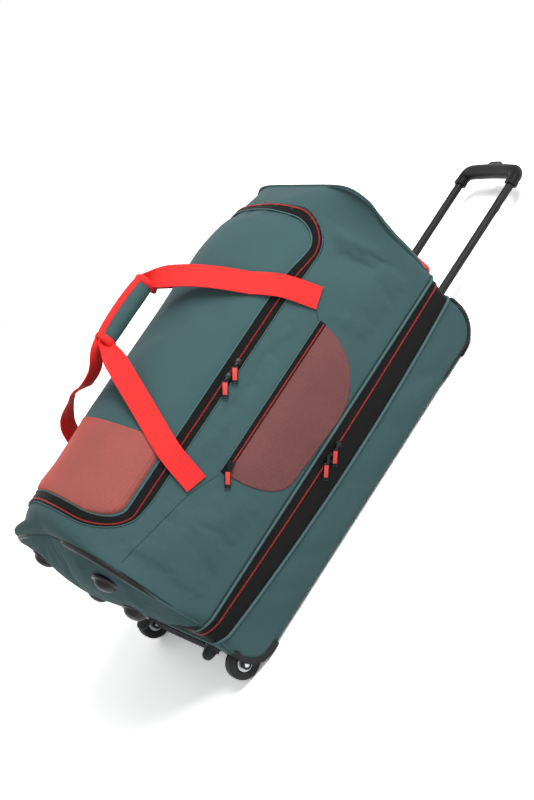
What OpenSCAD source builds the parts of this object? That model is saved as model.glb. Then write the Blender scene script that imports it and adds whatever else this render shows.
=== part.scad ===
// Rolling duffel bag with two decks, a zipped lid, carry straps and a pull handle.
// It lies on its base: +X runs from the wheels to the pull handle, +Z is up and -Y is the pocket side.
// Inside the modules x is counted from the wheel axles and z from the ground.

/* [Decks] */
// Length of the upper deck between its end seams
deck_len = 686; // [600:1:760]
// Width of the bag
bag_w = 372; // [320:1:420]
// Thickness of the cloth walls with their foam
wall = 4; // [2.5:0.5:6]
// Height of the base tub's rim above the ground
rim_z = 80; // [70:1:90]
// Height of the deck zip's teeth above the ground
zip_z = 110; // [104:1:118]
// Height of the upper deck's lower seam above the ground
deck_z = 130; // [126:1:140]
// Rise of the upper deck's arch at its middle
mid_rise = 271; // [240:1:290]
// Rise of the upper deck's arch at its end seams
end_rise = 222; // [190:1:235]
// Bulge of the wheel-end panel
end_dome = 34; // [24:1:40]
// Bulge of the handle-end panel past its seam
handle_dome = 8; // [4:1:14]
// Bulge of the handle-end seam at its sides
handle_bulge = 10; // [6:1:16]
// How much further the handle-end seam leans out at its top
handle_lean = 14; // [8:1:20]
// Length over which the arch rises at the wheel end
nose_len = 45; // [30:1:60]
// Length over which the arch rises at the handle end
tail_len = 110; // [80:1:130]
// Squareness of the arch at its middle, where 2 is an ellipse
mid_power = 2; // [1.9:0.1:2.3]
// Squareness of the arch towards its ends
end_power = 2.7; // [2.4:0.1:3]
// Squareness of the arch at the handle-end seam
handle_power = 4.5; // [3.5:0.1:5]

/* [Base] */
// Thickness of the skid rails
skid_h = 3; // [2:0.5:5]
// Width of a skid rail
skid_w = 26; // [18:1:34]
// Distance from the middle to a skid rail's middle line
skid_y = 120; // [110:1:130]
// Radius of the tub's lower corners, seen from the side
base_corner_r = 60; // [45:1:65]
// Radius of the tub's long lower edges
base_edge_r = 14; // [6:1:20]
// How far the tub stops short of the upper deck at the handle end
base_setback = 10; // [4:1:16]
// How far the tub stands out past the axles at the wheel end
base_overhang = 2; // [0:0.5:6]
// Thickness of the stiff base board
board_t = 3; // [2:0.5:4]
// Thickness of the lining over the sleeves
lining_t = 2; // [1:0.5:3]
// Diameter of the piping
piping_d = 6; // [4:0.5:8]

/* [Lid and zips] */
// Distance from the axles to the lid's wheel-end edge
lid_x0 = 38; // [30:1:60]
// Distance from the axles to the lid's handle-end edge
lid_x1 = 630; // [560:1:640]
// Half of the lid's width across its zip
lid_half_w = 138; // [120:1:145]
// Corner radius of the lid
lid_corner_r = 55; // [35:1:80]
// Width of each half of the lid's zip tape
lid_tape_w = 7; // [5:1:10]
// Length of the mesh overlay on the lid
lid_mesh_len = 165; // [120:1:200]
// Thickness of mesh and tape laid over the cloth
skin_t = 1.6; // [1:0.2:2.4]
// Gap between pieces that part or are laid together
seam_gap = 0.4; // [0.3:0.1:0.8]
// Length of a zip slider
slider_len = 13; // [10:1:16]
// Width of a zip slider
slider_w = 10; // [8:1:13]
// Height of a zip slider
slider_h = 5; // [4:0.5:6]
// Length of a puller
puller_len = 34; // [26:1:38]
// Width of a puller
puller_w = 10; // [8:1:12]
// Thickness of a puller
puller_t = 2.4; // [2:0.2:3]
// Angle at which the pullers hang from their zips
puller_turn = 34; // [30:1:40]

/* [Side pocket] */
// Distance from the axles to the pocket's wheel-end edge
pocket_x0 = 222; // [200:1:240]
// Distance from the axles to the pocket's handle-end edge
pocket_x1 = 502; // [470:1:520]
// Height of the pocket zip above the ground
pocket_zip_z = 240; // [230:1:250]
// Height of the pocket's lowest edge above the ground
pocket_low_z = 137; // [134:1:150]
// Corner radius of the pocket
pocket_r = 38; // [24:1:48]
// Width of the pocket zip's tape
pocket_tape_w = 20; // [14:1:24]

/* [Carry straps] */
// Width of the webbing
strap_w = 38; // [30:1:44]
// Thickness of the webbing
strap_t = 2.6; // [2:0.2:4]
// Distance from the axles to the wheel-end strap foot
strap_x0 = 181; // [165:1:200]
// Distance from the axles to the handle-end strap foot
strap_x1 = 537; // [515:1:555]
// Height of the strap feet above the ground
strap_foot_z = 266; // [258:1:276]
// Height of the padded wrap's axis above the ground
wrap_z = 464; // [450:1:475]
// Length of the padded wrap
wrap_len = 122; // [100:1:140]
// Outer diameter of the padded wrap
wrap_d = 42; // [38:1:48]
// Thickness of the wrap's padding
wrap_t = 3.4; // [2.5:0.2:4]
// Standing height of the end grab handle
grab_rise = 22; // [16:1:28]
// Length of the end grab handle
grab_len = 296; // [220:1:310]
// Height of the end grab handle's middle above the ground
grab_z = 152; // [152:1:185]

/* [Wheels] */
// Diameter of the wheels
wheel_d = 54; // [48:1:56]
// Height of the axles above the ground
axle_z = 28; // [28:0.5:32]
// Width of the tyres
wheel_w = 20; // [16:1:24]
// Distance from the bag's side in to a wheel's middle plane
wheel_inset = 21; // [20:1:26]
// Diameter of the axles
axle_d = 8; // [6:0.5:10]
// Diameter of the hubs
hub_d = 26; // [22:1:32]
// Diameter of the bushes
bush_d = 13; // [12:0.5:16]
// Running clearance of shafts and slides
run_gap = 0.08; // [0.05:0.01:0.1]
// Side clearance of a wheel in its corner housing
wheel_gap = 1.6; // [1:0.2:2.5]
// Thickness of a housing's cheeks
cheek_t = 5; // [4:0.5:6]
// Width of the guard rim round a wheel corner, seen from the side
guard_rim = 10; // [8:1:14]

/* [Feet] */
// Diameter of a dome foot's flange
dome_flange_d = 48; // [40:1:52]
// Height of a dome foot
dome_h = 13; // [10:1:18]
// Distance from the middle to an upper dome foot
dome_upper_y = 112; // [100:1:120]
// Height of the upper dome feet above the ground
dome_upper_z = 286; // [270:1:292]
// Distance from the middle to a lower dome foot
dome_lower_y = 75; // [60:1:90]
// Height of the lower dome feet above the ground
dome_lower_z = 190; // [180:1:200]
// Diameter of a stand foot
stand_d = 22; // [18:1:28]
// Distance from the middle to a stand foot
stand_y = 124; // [110:1:126]
// Width of a shoulder guard strip on the end panel
guard_w = 9; // [6:1:16]

/* [Pull handle] */
// Distance from the middle to a handle tube
tube_y = 77; // [65:1:90]
// Height of the handle tubes above the ground
tube_z = 41; // [38:1:44]
// Width of a handle tube
tube_w = 15; // [12:0.5:18]
// Depth of a handle tube
tube_d = 11; // [9:0.5:13]
// Wall of the tubes and sleeves
tube_wall = 1.6; // [1.2:0.1:2]
// Length of a handle tube that shows when pulled out
tube_out = 258; // [200:1:300]
// Length of a handle tube that stays in its sleeve
tube_in = 75; // [60:1:90]
// Length of the sleeves
sleeve_len = 520; // [420:1:590]
// Thickness of the exit plate
exit_t = 6; // [4:0.5:8]
// Thickness of the grip's bar
grip_t = 27; // [25:1:30]
// Radius of the bends between the grip's legs and its bar
grip_bend_r = 16; // [15:1:22]
// Bow of the grip's bar
grip_bow = 2; // [0.5:0.5:3]
// Length of the grip's legs below their bends
grip_leg = 6; // [4:1:16]
// Length of the push button
button_len = 40; // [30:1:56]
// Width of the push button
button_w = 12; // [9:0.5:14]
// Travel of the push button
button_travel = 4; // [3:0.5:5]
// Diameter of the push rods
rod_d = 4; // [3:0.5:4]
// Distance of the tube catch below the grip
catch_drop = 62; // [50:1:80]
// Length of the tube catch
catch_len = 16; // [12:1:22]
// Height of the tube catch above its tube
catch_h = 4; // [2.5:0.5:4.5]

/* [Hidden] */
$fn = 48;

// Colours of the cloth, trim and mouldings
teal = "#4e6f70";
black = "#26262a";
red = "#e2423f";
mesh_red = "#a4605c";
steel = "#b9bcc0";

// Overlap that makes a cut go clean through a face
over = 1;
half_w = bag_w / 2;
base_x0 = -base_overhang;
base_x1 = deck_len - base_setback;
wheel_r = wheel_d / 2;
wheel_y = half_w - wheel_inset;
half_turn = 180;

// Values that the handle tubes, their sleeves and the grip share
slide_gap = 0.3;
collar_len = 6;
sleeve_x1 = base_x1 - over;
sleeve_x0 = sleeve_x1 - sleeve_len;
sleeve_w = tube_w + 2 * (tube_wall + slide_gap);
sleeve_d = tube_d + 2 * (tube_wall + slide_gap);
tube_r = tube_d / 3;
sleeve_r = tube_r + tube_wall;
exit_x = base_x1 + exit_t;
collar_x = exit_x + tube_out;
leg_x0 = collar_x + collar_len;
bend_x = leg_x0 + grip_leg;
bar_cx = bend_x + grip_bend_r;
grip_tip_x = bar_cx + grip_bow + grip_t / 2;

// The upper deck's arch is drawn in this many steps, and its end panels dome about this share of its rise
arch_steps = 28;
deck_rings = 10;
arch_mid = 0.4;
corner_steps = 8;

// Surface of the wheel-end panel's bulge, and the whole length's middle
function panel_x(y, z) =
  let (u = abs(y) / half_w, v = abs(z - deck_z - arch_mid * end_rise) / end_rise)
  -end_dome * max(1 - u * u - v * v, 0);
tail_x = panel_x(dome_lower_y, dome_lower_z) - dome_h;
frame_x = (grip_tip_x + button_travel + tail_x) / 2;

// Shift from the axles to the middle of the whole length
module framed() {
  translate([-frame_x, 0, 0]) children();
}

// Rounded rectangle from arcs, centred
module round_rect(w, h, r) {
  square([w - 2 * r, h], center = true);
  square([w, h - 2 * r], center = true);
  for (sx = [-1, 1], sy = [-1, 1])
    translate([sx * (w / 2 - r), sy * (h / 2 - r)]) circle(r);
}

// Bar of a rounded section that runs along x, with its width along y
module bar_x_run(x0, x1, w, h, r) {
  translate([x0, 0, 0]) rotate([90, 0, 90]) linear_extrude(x1 - x0) round_rect(w, h, r);
}

// Outline drawn in x and z, made solid from y0 to y1
module side_prism(y0, y1) {
  translate([0, y1, 0]) rotate([90, 0, 0]) linear_extrude(y1 - y0) children();
}

// Outline drawn in y and z, made solid from x0 to x1
module end_prism(x0, x1) {
  translate([x0, 0, 0]) rotate([90, 0, 90]) linear_extrude(x1 - x0) children();
}

// The arch of the upper deck: how full it is, how high and how square at a distance from the axles
function ease(t) = sqrt(1 - pow(1 - min(max(t, 0), 1), 2));
function fullness(x) = ease(min(x / nose_len, (deck_len - x) / tail_len));
function arch_rise(x) = end_rise + (mid_rise - end_rise) * fullness(x);
tail_power = 3;
function arch_power(x) = mid_power + (end_power - mid_power) * (1 - fullness(x))
  + (x > deck_len / 2 ? (handle_power - end_power) * pow(1 - fullness(x), tail_power) : 0);
function signed_pow(v, e) = sign(v) * pow(abs(v), e);
lean_power = 6;
lean_knee = 0.45;
function arch_lean(x, z) =
  let (u = min(max(z / arch_rise(x), 0), 1), past = max(u - lean_knee, 0) / (1 - lean_knee))
  (handle_bulge * sin(90 * min(u / lean_knee, 1)) + handle_lean * past)
  * pow(max(x / deck_len, 0), lean_power);

// One ring of the arch, grown outwards by grow and shrunk towards its middle by a share for the domed ends
function arch_ring(x, grow, share, out_x) = [
  for (i = [0 : arch_steps])
    let (
      a = 180 * i / arch_steps,
      e = 2 / arch_power(x),
      mid = arch_mid * arch_rise(x),
      y = (half_w + grow) * signed_pow(cos(a), e) * share,
      z = mid + ((arch_rise(x) + grow) * pow(max(sin(a), 0), e) - mid) * share
    )
    [x + out_x + arch_lean(x, z), y, deck_z + z]
];
dome_shares = [0.2, 0.5, 0.8];
dome_last = len(dome_shares) - 1;
function dome_out(depth, share, grow) = grow + depth * (1 - share * share);
function ring_x(i) = deck_len * (1 - cos(180 * i / deck_rings)) / 2;
function ring_out(i, grow) = grow * (2 * ring_x(i) / deck_len - 1);
function arch_rings(grow) = concat(
  [for (s = dome_shares) arch_ring(0, grow, s, -dome_out(end_dome, s, grow))],
  [for (i = [0 : deck_rings]) arch_ring(ring_x(i), grow, 1, ring_out(i, grow))],
  [for (i = [0 : dome_last]) let (s = dome_shares[dome_last - i])
    arch_ring(deck_len, grow, s, dome_out(handle_dome, s, grow))]
);

// Closed solid through a list of rings with the same number of points
module loft(rings) {
  count = len(rings[0]);
  last = len(rings) - 1;
  faces = concat(
    [[for (j = [0 : count - 1]) j]],
    [for (i = [0 : last - 1], j = [0 : count - 1])
      [i * count + j, (i + 1) * count + j, (i + 1) * count + (j + 1) % count]],
    [for (i = [0 : last - 1], j = [0 : count - 1])
      [i * count + j, (i + 1) * count + (j + 1) % count, i * count + (j + 1) % count]],
    [[for (j = [count - 1 : -1 : 0]) last * count + j]]
  );
  polyhedron([for (ring = rings, p = ring) p], faces, convexity = 6);
}

// The upper deck's full form, grown outwards
module deck_form(grow) {
  loft(arch_rings(grow));
}

// A layer of the upper deck's wall between two depths
module deck_layer(inner, outer) {
  difference() {
    deck_form(outer);
    deck_form(inner);
  }
}

corner_angles = [for (i = [0 : corner_steps]) 90 * i / corner_steps];
// Plan outline of the lid, grown outwards, with a straight hinge edge on the far side
module lid_plan(grow) {
  r = lid_corner_r + grow;
  x0 = lid_x0 - grow;
  x1 = lid_x1 + grow;
  w = lid_half_w + grow;
  polygon(concat(
    [[x0, lid_half_w], [x1, lid_half_w]],
    [for (a = corner_angles) [x1 - r + r * cos(a), -w + r - r * sin(a)]],
    [for (a = corner_angles) [x0 + r - r * sin(a), -w + r - r * cos(a)]]
  ));
}
module lid_prism(grow) {
  translate([0, 0, deck_z + end_rise / 3]) linear_extrude(mid_rise) lid_plan(grow);
}

// Height of the arch above the ground at its middle, at a distance from the middle plane
function crest_z(y, grow) = deck_z
  + (mid_rise + grow) * pow(1 - pow(abs(y) / (half_w + grow), mid_power), 1 / mid_power);
hinge_z = crest_z(lid_half_w, 0);
// Distance from the middle plane of the arch at a height above the ground
function crest_y(z, grow) = (half_w + grow)
  * pow(1 - pow((z - deck_z) / (mid_rise + grow), mid_power), 1 / mid_power);

// Side profile of the base tub, drawn in x and z and shrunk by a wall
module tub_profile(inset) {
  rounded_trough(base_x0 + inset, base_x1 - inset, skid_h + inset, rim_z + inset, base_corner_r - inset);
}

// End profile of the base tub, drawn in y and z and shrunk by a wall
module tub_section(inset) {
  w = half_w - inset;
  rounded_trough(-w, w, skid_h + inset, rim_z + inset, max(base_edge_r - inset, wall / 2));
}

// Flat-topped outline from u0 to u1 and v0 to v1 with round lower corners
module rounded_trough(u0, u1, v0, v1, r) {
  translate([u0 + r, v0]) square([u1 - u0 - 2 * r, v1 - v0]);
  translate([u0, v0 + r]) square([u1 - u0, v1 - v0 - r]);
  for (u = [u0 + r, u1 - r])
    intersection() {
      translate([u, v0 + r]) circle(r, $fn = 96);
      translate([u - r, v0]) square([2 * r, min(2 * r, v1 - v0)]);
    }
}

// The base tub's full form, shrunk by a wall
module tub_form(inset) {
  intersection() {
    side_prism(-half_w, half_w) tub_profile(inset);
    end_prism(base_x0 - over, base_x1 + over) tub_section(inset);
  }
}

// Centre of the round lower corner at the wheel end, and the block behind it that a wheel housing fills
corner_x = base_x0 + base_corner_r;
corner_z = skid_h + base_corner_r;
housing_y0 = wheel_y - wheel_w / 2 - wheel_gap - cheek_t;
housing_y1 = half_w - wall - seam_gap;
corner_round = 0.72;
module corner_face(size) {
  r = corner_round * size;
  translate([corner_x - size, corner_z - size]) {
    translate([r, 0]) square([size - r, size]);
    translate([0, r]) square([size, size - r]);
    intersection() {
      translate([r, r]) circle(r, $fn = 96);
      square(r);
    }
  }
}
module corner_quarter(inner, outer, y0, y1) {
  side_prism(y0, y1) difference() {
    corner_face(outer);
    if (inner > 0) translate([over, over]) corner_face(inner + over);
  }
}
module housing_room(grow) {
  corner_quarter(base_corner_r - guard_rim - grow, base_corner_r + over, half_w - wall - over, half_w + over);
  translate([base_x0 - over, housing_y0 - grow, skid_h - over])
    cube([base_corner_r + over + grow, housing_y1 - housing_y0 + 2 * grow, base_corner_r + over + grow]);
}
module both_sides() {
  children();
  mirror([0, 1, 0]) children();
}

module base_tub() {
  color(teal) framed() difference() {
    tub_form(0);
    tub_form(wall);
    both_sides() {
      housing_room(seam_gap);
      translate([0, tube_y, tube_z])
        bar_x_run(base_x1 - base_corner_r / 2, base_x1 + over, sleeve_w + 2 * catch_h, sleeve_d + over,
          sleeve_r);
    }
  }
}

// The board lies on the tub's floor between the wheel housings
board_x0 = base_x0 + base_corner_r + seam_gap;
board_x1 = base_x1 - base_corner_r;
board_z = skid_h + wall + seam_gap;
module base_board() {
  w = bag_w - 2 * (wall + base_edge_r);
  color(black) framed() translate([board_x0, -w / 2, board_z]) cube([board_x1 - board_x0, w, board_t]);
}

module skid_rails() {
  color(black) framed() for (side = [-1, 1])
    translate([0, side * skid_y, 0]) linear_extrude(skid_h - seam_gap / 2)
      translate([(board_x0 + board_x1) / 2, 0]) round_rect(board_x1 - board_x0, skid_w, skid_w / 3);
}

// Rectangular frame that follows the bag's outline between two heights
module band(z0, z1, out, x0, x1) {
  translate([(x0 + x1) / 2, 0, z0]) linear_extrude(z1 - z0) difference() {
    round_rect(x1 - x0 + 2 * out, bag_w + 2 * out, wall + out);
    square([x1 - x0 - 2 * wall, bag_w - 2 * wall], center = true);
  }
}

rim_piping_z = rim_z + seam_gap;
module base_piping() {
  color(teal) framed() band(rim_piping_z, rim_piping_z + piping_d, piping_d / 3, base_x0, base_x1);
}

base_tape_z = rim_piping_z + piping_d + seam_gap;
module base_zip_tape() {
  color(black) framed() band(base_tape_z, zip_z - seam_gap, 0, base_x0, base_x1);
}

module deck_zip_tape() {
  color(black) framed() band(zip_z + seam_gap, deck_z - piping_d - 2 * seam_gap, 0, base_x0, base_x1);
}

// The lining is a flat sheet over the sleeves, held in the tub's walls
lining_z = tube_z + sleeve_d / 2 + seam_gap;
module sleeve_lining() {
  color(black) framed() difference() {
    intersection() {
      tub_form(wall + seam_gap);
      translate([base_x0, -half_w, lining_z]) cube([base_x1 - base_x0, bag_w, lining_t]);
    }
    both_sides() housing_room(wall);
  }
}

// Black guard that wraps the tub's lower edge at the handle end
guard_t = 4;
guard_drop = skid_h - seam_gap;
module handle_end_guard() {
  color(black) framed() difference() {
    intersection() {
      side_prism(-half_w + over, half_w - over) translate([guard_t, -guard_drop]) tub_profile(0);
      translate([base_x1 - base_corner_r, -half_w, 0]) cube([base_corner_r + guard_t, bag_w, rim_z - wall]);
    }
    side_prism(-half_w, half_w) translate([seam_gap, -seam_gap]) tub_profile(0);
    both_sides() translate([base_x1, tube_y, tube_z])
      cube([2 * base_corner_r, exit_w + 2 * seam_gap, exit_h + 2 * seam_gap], center = true);
  }
}

// Moulded corner that carries a wheel between two cheeks, drawn for the far side
axle_len = wheel_w + 2 * (wheel_gap + cheek_t);
boss_d = 2 * axle_d;
lug_a = atan2(corner_z - axle_z, corner_x);
module along_axle(y0, y1, d) {
  translate([0, y0, axle_z]) rotate([-90, 0, 0]) cylinder(d = d, h = y1 - y0, $fn = 96);
}
module wheel_housing() {
  axle_y0 = wheel_y - axle_len / 2;
  axle_y1 = wheel_y + axle_len / 2;
  color(black) framed() difference() {
    union() {
      corner_quarter(0, base_corner_r, housing_y0, housing_y1);
      corner_quarter(base_corner_r - guard_rim, base_corner_r, housing_y1 - over, half_w);
      along_axle(axle_y0, axle_y1, boss_d);
      side_prism(axle_y0, housing_y1) translate([0, axle_z]) rotate(lug_a) translate([0, over - boss_d / 2])
        square([boss_d, boss_d - 2 * over]);
    }
    along_axle(wheel_y - wheel_w / 2 - wheel_gap, wheel_y + wheel_w / 2 + wheel_gap, wheel_d + 2 * wheel_gap);
    along_axle(axle_y0 - over, axle_y1 + over, axle_d);
    translate([screw_x, wheel_y, corner_z - screw_len]) cylinder(d = screw_d, h = screw_len + over);
  }
}
module near_wheel_housing() {
  mirror([0, 1, 0]) wheel_housing();
}
module far_wheel_housing() {
  wheel_housing();
}

// Screws that hold the housings up into the tub
screw_d = 4;
screw_len = 8;
screw_x = corner_x - 2 * screw_d;
module housing_screws() {
  color(steel) framed() both_sides() translate([screw_x, wheel_y, corner_z - screw_len]) {
    cylinder(d = screw_d, h = screw_len);
    translate([0, 0, screw_len]) cylinder(d = 2 * screw_d, h = wall);
  }
}

module axle(side) {
  color(steel) framed() translate([0, side * wheel_y - axle_len / 2, axle_z])
    rotate([-90, 0, 0]) cylinder(d = axle_d, h = axle_len);
}
module near_axle() {
  axle(-1);
}
module far_axle() {
  axle(1);
}

// Ring about a wheel's axis
module wheel_ring(side, outer_d, inner_d, w) {
  framed() translate([0, side * wheel_y - w / 2, axle_z]) rotate([-90, 0, 0]) difference() {
    cylinder(d = outer_d, h = w, $fn = 96);
    translate([0, 0, -over]) cylinder(d = inner_d, h = w + 2 * over, $fn = 96);
  }
}
tyre_shoulder = 4;
module tyre(side) {
  color(black) framed() translate([0, side * wheel_y, axle_z]) rotate([90, 0, 0]) rotate_extrude($fn = 96)
    translate([(wheel_r + hub_d / 2) / 2, 0]) round_rect(wheel_r - hub_d / 2, wheel_w, tyre_shoulder);
}
module near_tyre() {
  tyre(-1);
}
module far_tyre() {
  tyre(1);
}

module hub(side) {
  color("#8d9094") wheel_ring(side, hub_d, bush_d, wheel_w - over);
}
module near_hub() {
  hub(-1);
}
module far_hub() {
  hub(1);
}

module bush(side) {
  color(steel) wheel_ring(side, bush_d, axle_d + 2 * run_gap, wheel_w + wheel_gap);
}
module near_bush() {
  bush(-1);
}
module far_bush() {
  bush(1);
}

// Feet on the tub's end wall that hold the bag level when it stands upright
stand_z = rim_z - stand_d / 2 - wall;
stand_rim = 3;
module stand_feet() {
  color(black) framed() for (side = [-1, 1])
    translate([base_x0, side * stand_y, stand_z]) rotate([0, -90, 0]) {
      cylinder(d = stand_d + 2 * stand_rim, h = stand_rim);
      cylinder(d = stand_d, h = wheel_r - base_overhang);
    }
}

// Plastic skirt on the tub's end wall between the stand feet
skirt_t = 3;
module wheel_end_skirt() {
  h = rim_z - base_corner_r - skid_h + wheel_r;
  w = 2 * stand_y - stand_d - 4 * wall;
  color(black) framed() end_prism(base_x0 - skirt_t - seam_gap, base_x0 - seam_gap)
    translate([0, rim_z - h / 2 - over]) round_rect(w, h, 2 * wall);
}

// Sleeves that the handle tubes slide in, with a slot for the catch in the near one
module sleeve() {
  color("#6d7074") framed() translate([0, tube_y, tube_z]) difference() {
    bar_x_run(sleeve_x0, sleeve_x1, sleeve_w, sleeve_d, sleeve_r);
    bar_x_run(sleeve_x0 - over, sleeve_x1 + over, tube_w + 2 * slide_gap, tube_d + 2 * slide_gap, tube_r);
    catch_room(sleeve_x1 - catch_drop, sleeve_x1 + over);
  }
}
module near_sleeve() {
  mirror([0, 1, 0]) sleeve();
}
module far_sleeve() {
  sleeve();
}

// Saddles that hold the sleeves up from the base board
saddle_len = 30;
saddle_places = [sleeve_x0 + sleeve_len / 4, sleeve_x0 + 3 * sleeve_len / 4];
module sleeve_saddles() {
  z0 = board_z + board_t;
  color(black) framed() for (side = [-1, 1], x = saddle_places)
    translate([x, side * tube_y - sleeve_w / 2, z0]) cube([saddle_len, sleeve_w, tube_z - sleeve_d / 2 - z0]);
}

// Cross piece that ties the blind ends of the sleeves
cross_t = 14;
module sleeve_cross_piece() {
  z0 = board_z + board_t;
  color(black) framed() translate([sleeve_x0 - cross_t, -tube_y - sleeve_w / 2, z0])
    cube([cross_t, 2 * tube_y + sleeve_w, tube_z + sleeve_d / 2 - z0]);
}

// Plates that the tubes come out of
exit_lap = 9;
exit_w = sleeve_w + 2 * exit_lap;
exit_h = sleeve_d + exit_lap;
module exit_plate() {
  color(black) framed() both_sides() translate([0, tube_y, tube_z]) difference() {
    bar_x_run(base_x1, exit_x, exit_w, exit_h, sleeve_r + over);
    bar_x_run(base_x1 - over, exit_x + over, tube_w + 2 * slide_gap, tube_d + 2 * slide_gap, tube_r);
    catch_room(base_x1 - over, exit_x + over);
  }
}

// Handle tubes, hollow for the push rods, with a groove along the upper face
groove_w = 3;
groove_d = tube_wall / 2;
tube_x0 = exit_x - tube_in;
tube_x1 = bend_x + grip_bend_r / 3;
module tube() {
  color(black) framed() translate([0, tube_y, tube_z]) difference() {
    bar_x_run(tube_x0, tube_x1, tube_w, tube_d, tube_r);
    bar_x_run(tube_x0 - over, tube_x1 + over, tube_w - 2 * tube_wall, tube_d - 2 * tube_wall, tube_r / 2);
    translate([tube_x0 - over, -groove_w / 2, tube_d / 2 - groove_d])
      cube([leg_x0 - tube_x0, groove_w, 2 * groove_d]);
  }
}
module near_tube() {
  mirror([0, 1, 0]) tube();
}
module far_tube() {
  tube();
}

// Catch on the outer side of the near tube, and the slot that it runs through, drawn about the tube's axis
catch_t = 5;
catch_x = collar_x - catch_drop;
module tube_catch() {
  y0 = tube_w / 2;
  color(black) framed() mirror([0, 1, 0]) translate([0, tube_y, tube_z - catch_t / 2]) linear_extrude(catch_t)
    polygon([[catch_x, y0], [catch_x + catch_len, y0], [catch_x + catch_len - over, y0 + catch_h],
      [catch_x + catch_h, y0 + catch_h]]);
}
module catch_room(x0, x1) {
  w = catch_t + 2 * slide_gap;
  translate([x0, 0, -w / 2]) cube([x1 - x0, tube_w / 2 + catch_h + slide_gap, w]);
}

// Plastic plugs at the tubes' inner ends that run in the sleeves
glide_len = 24;
module glide_bushes() {
  fit = 2 * (slide_gap - run_gap);
  color("#3a3d42") framed() both_sides() translate([0, tube_y, tube_z])
    bar_x_run(tube_x0 - glide_len, tube_x0, tube_w + fit, tube_d + fit, tube_r);
}

// Collars where the tubes enter the grip
collar_rim = 4;
module tube_collars() {
  color(black) framed() both_sides() translate([0, tube_y, tube_z]) difference() {
    bar_x_run(collar_x, leg_x0, tube_w + 2 * collar_rim, tube_d + 2 * collar_rim, tube_r + collar_rim);
    bar_x_run(collar_x - over, leg_x0 + over, tube_w, tube_d, tube_r);
  }
}

// Bow grip: round legs over the tubes, a bend on each and a thicker bar, swept along the path of its axis
leg_w = tube_w + 9;
leg_d = tube_d + 9;
bar_d = grip_t - 2;
grip_points = 28;
bend_steps = 8;
bar_steps = 6;
bar_half = tube_y - grip_bend_r;
function bend_stop(i) =
  let (a = 90 * i / bend_steps) [bend_x + grip_bend_r * sin(a), bar_half + grip_bend_r * cos(a), a];
function bar_stop(i) =
  let (y = bar_half * (1 - i / bar_steps)) [bar_cx + grip_bow * (1 - pow(y / bar_half, 2)), y, 90];
half_grip = concat(
  [[leg_x0, tube_y, 0]],
  [for (i = [0 : bend_steps]) bend_stop(i)],
  [for (i = [1 : bar_steps]) bar_stop(i)]
);
grip_stops = concat(
  half_grip,
  [for (i = [len(half_grip) - 2 : -1 : 0]) [half_grip[i][0], -half_grip[i][1], half_turn - half_grip[i][2]]]
);
function grip_ring(stop) =
  let (a = stop[2], share = min(a, half_turn - a) / 90, w = leg_w + (grip_t - leg_w) * share,
    d = leg_d + (bar_d - leg_d) * share)
  [for (i = [0 : grip_points - 1])
    let (t = 360 * i / grip_points, u = w / 2 * cos(t))
    [stop[0] + u * sin(a), stop[1] + u * cos(a), d / 2 * sin(t)]];

// The button's room, the corridor of its bridge and the holes of its rods
bar_floor = 3;
bridge_t = 3;
room_gap = 0.6;
room_d = rod_d + 2 * room_gap;
rod_y = tube_y - 2;
room_x = bar_cx + grip_bow - grip_t / 2 + bar_floor;
bridge_x = room_x + button_travel;
module across_bar(x0, x1, w, d) {
  translate([x0, -w / 2, -d / 2]) cube([x1 - x0, w, d]);
}
module grip_bar() {
  color(black) framed() translate([0, 0, tube_z]) difference() {
    loft([for (stop = grip_stops) grip_ring(stop)]);
    both_sides() {
      translate([0, tube_y, 0]) bar_x_run(leg_x0 - over, tube_x1, tube_w, tube_d, tube_r);
      translate([tube_x1 - over, rod_y, 0]) rotate([0, 90, 0])
        cylinder(d = room_d, h = room_x - tube_x1 + 2 * over);
    }
    across_bar(room_x, bridge_x + bridge_t + room_gap, 2 * rod_y + room_d, room_d);
    across_bar(room_x, grip_tip_x + grip_t, button_len + 2 * slide_gap, button_w + 2 * slide_gap);
  }
}

// Push button with sloping ends and the bridge to its rods
button_slope = 6;
module push_button() {
  h = button_len / 2;
  top = grip_tip_x + button_travel;
  color("#3d3f44") framed() translate([0, 0, tube_z]) {
    translate([0, 0, -button_w / 2]) linear_extrude(button_w)
      polygon([[bridge_x, -h], [grip_tip_x, -h], [top, -h + button_slope], [top, h - button_slope],
        [grip_tip_x, h], [bridge_x, h]]);
    across_bar(bridge_x, bridge_x + bridge_t, 2 * rod_y + rod_d, rod_d);
  }
}
module button_spring() {
  d = 2 * rod_d;
  color(steel) framed() translate([room_x, 0, tube_z]) rotate([0, 90, 0]) difference() {
    cylinder(d = d, h = button_travel - seam_gap);
    translate([0, 0, -over]) cylinder(d = rod_d, h = button_travel + 2 * over);
  }
}
module push_rods() {
  x0 = tube_x0 + button_travel + over;
  color(steel) framed() both_sides() translate([x0, rod_y, tube_z]) rotate([0, 90, 0])
    cylinder(d = rod_d, h = bridge_x - x0);
}

module upper_shell() {
  color(teal) framed() difference() {
    deck_form(0);
    deck_form(-wall);
    translate([0, 0, -over]) deck_form(-wall);
    lid_prism(lid_tape_w + seam_gap);
  }
}

// Panel between the decks, inside the upper shell's hem
divider_t = 3;
module divider_panel() {
  inset = wall + seam_gap;
  color(black) framed() translate([inset, -half_w + inset, deck_z])
    cube([deck_len - 2 * inset, bag_w - 2 * inset, divider_t]);
}

// Piping on the two end seams and the lower seam of the upper deck
module deck_piping() {
  color(teal) framed() {
    for (end = [0, 1])
      intersection() {
        deck_layer(seam_gap, piping_d / 2);
        seam_slab(end * (deck_len - piping_d), end);
      }
    band(deck_z - piping_d - seam_gap, deck_z - seam_gap, piping_d / 3, 0, deck_len);
  }
}
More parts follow.
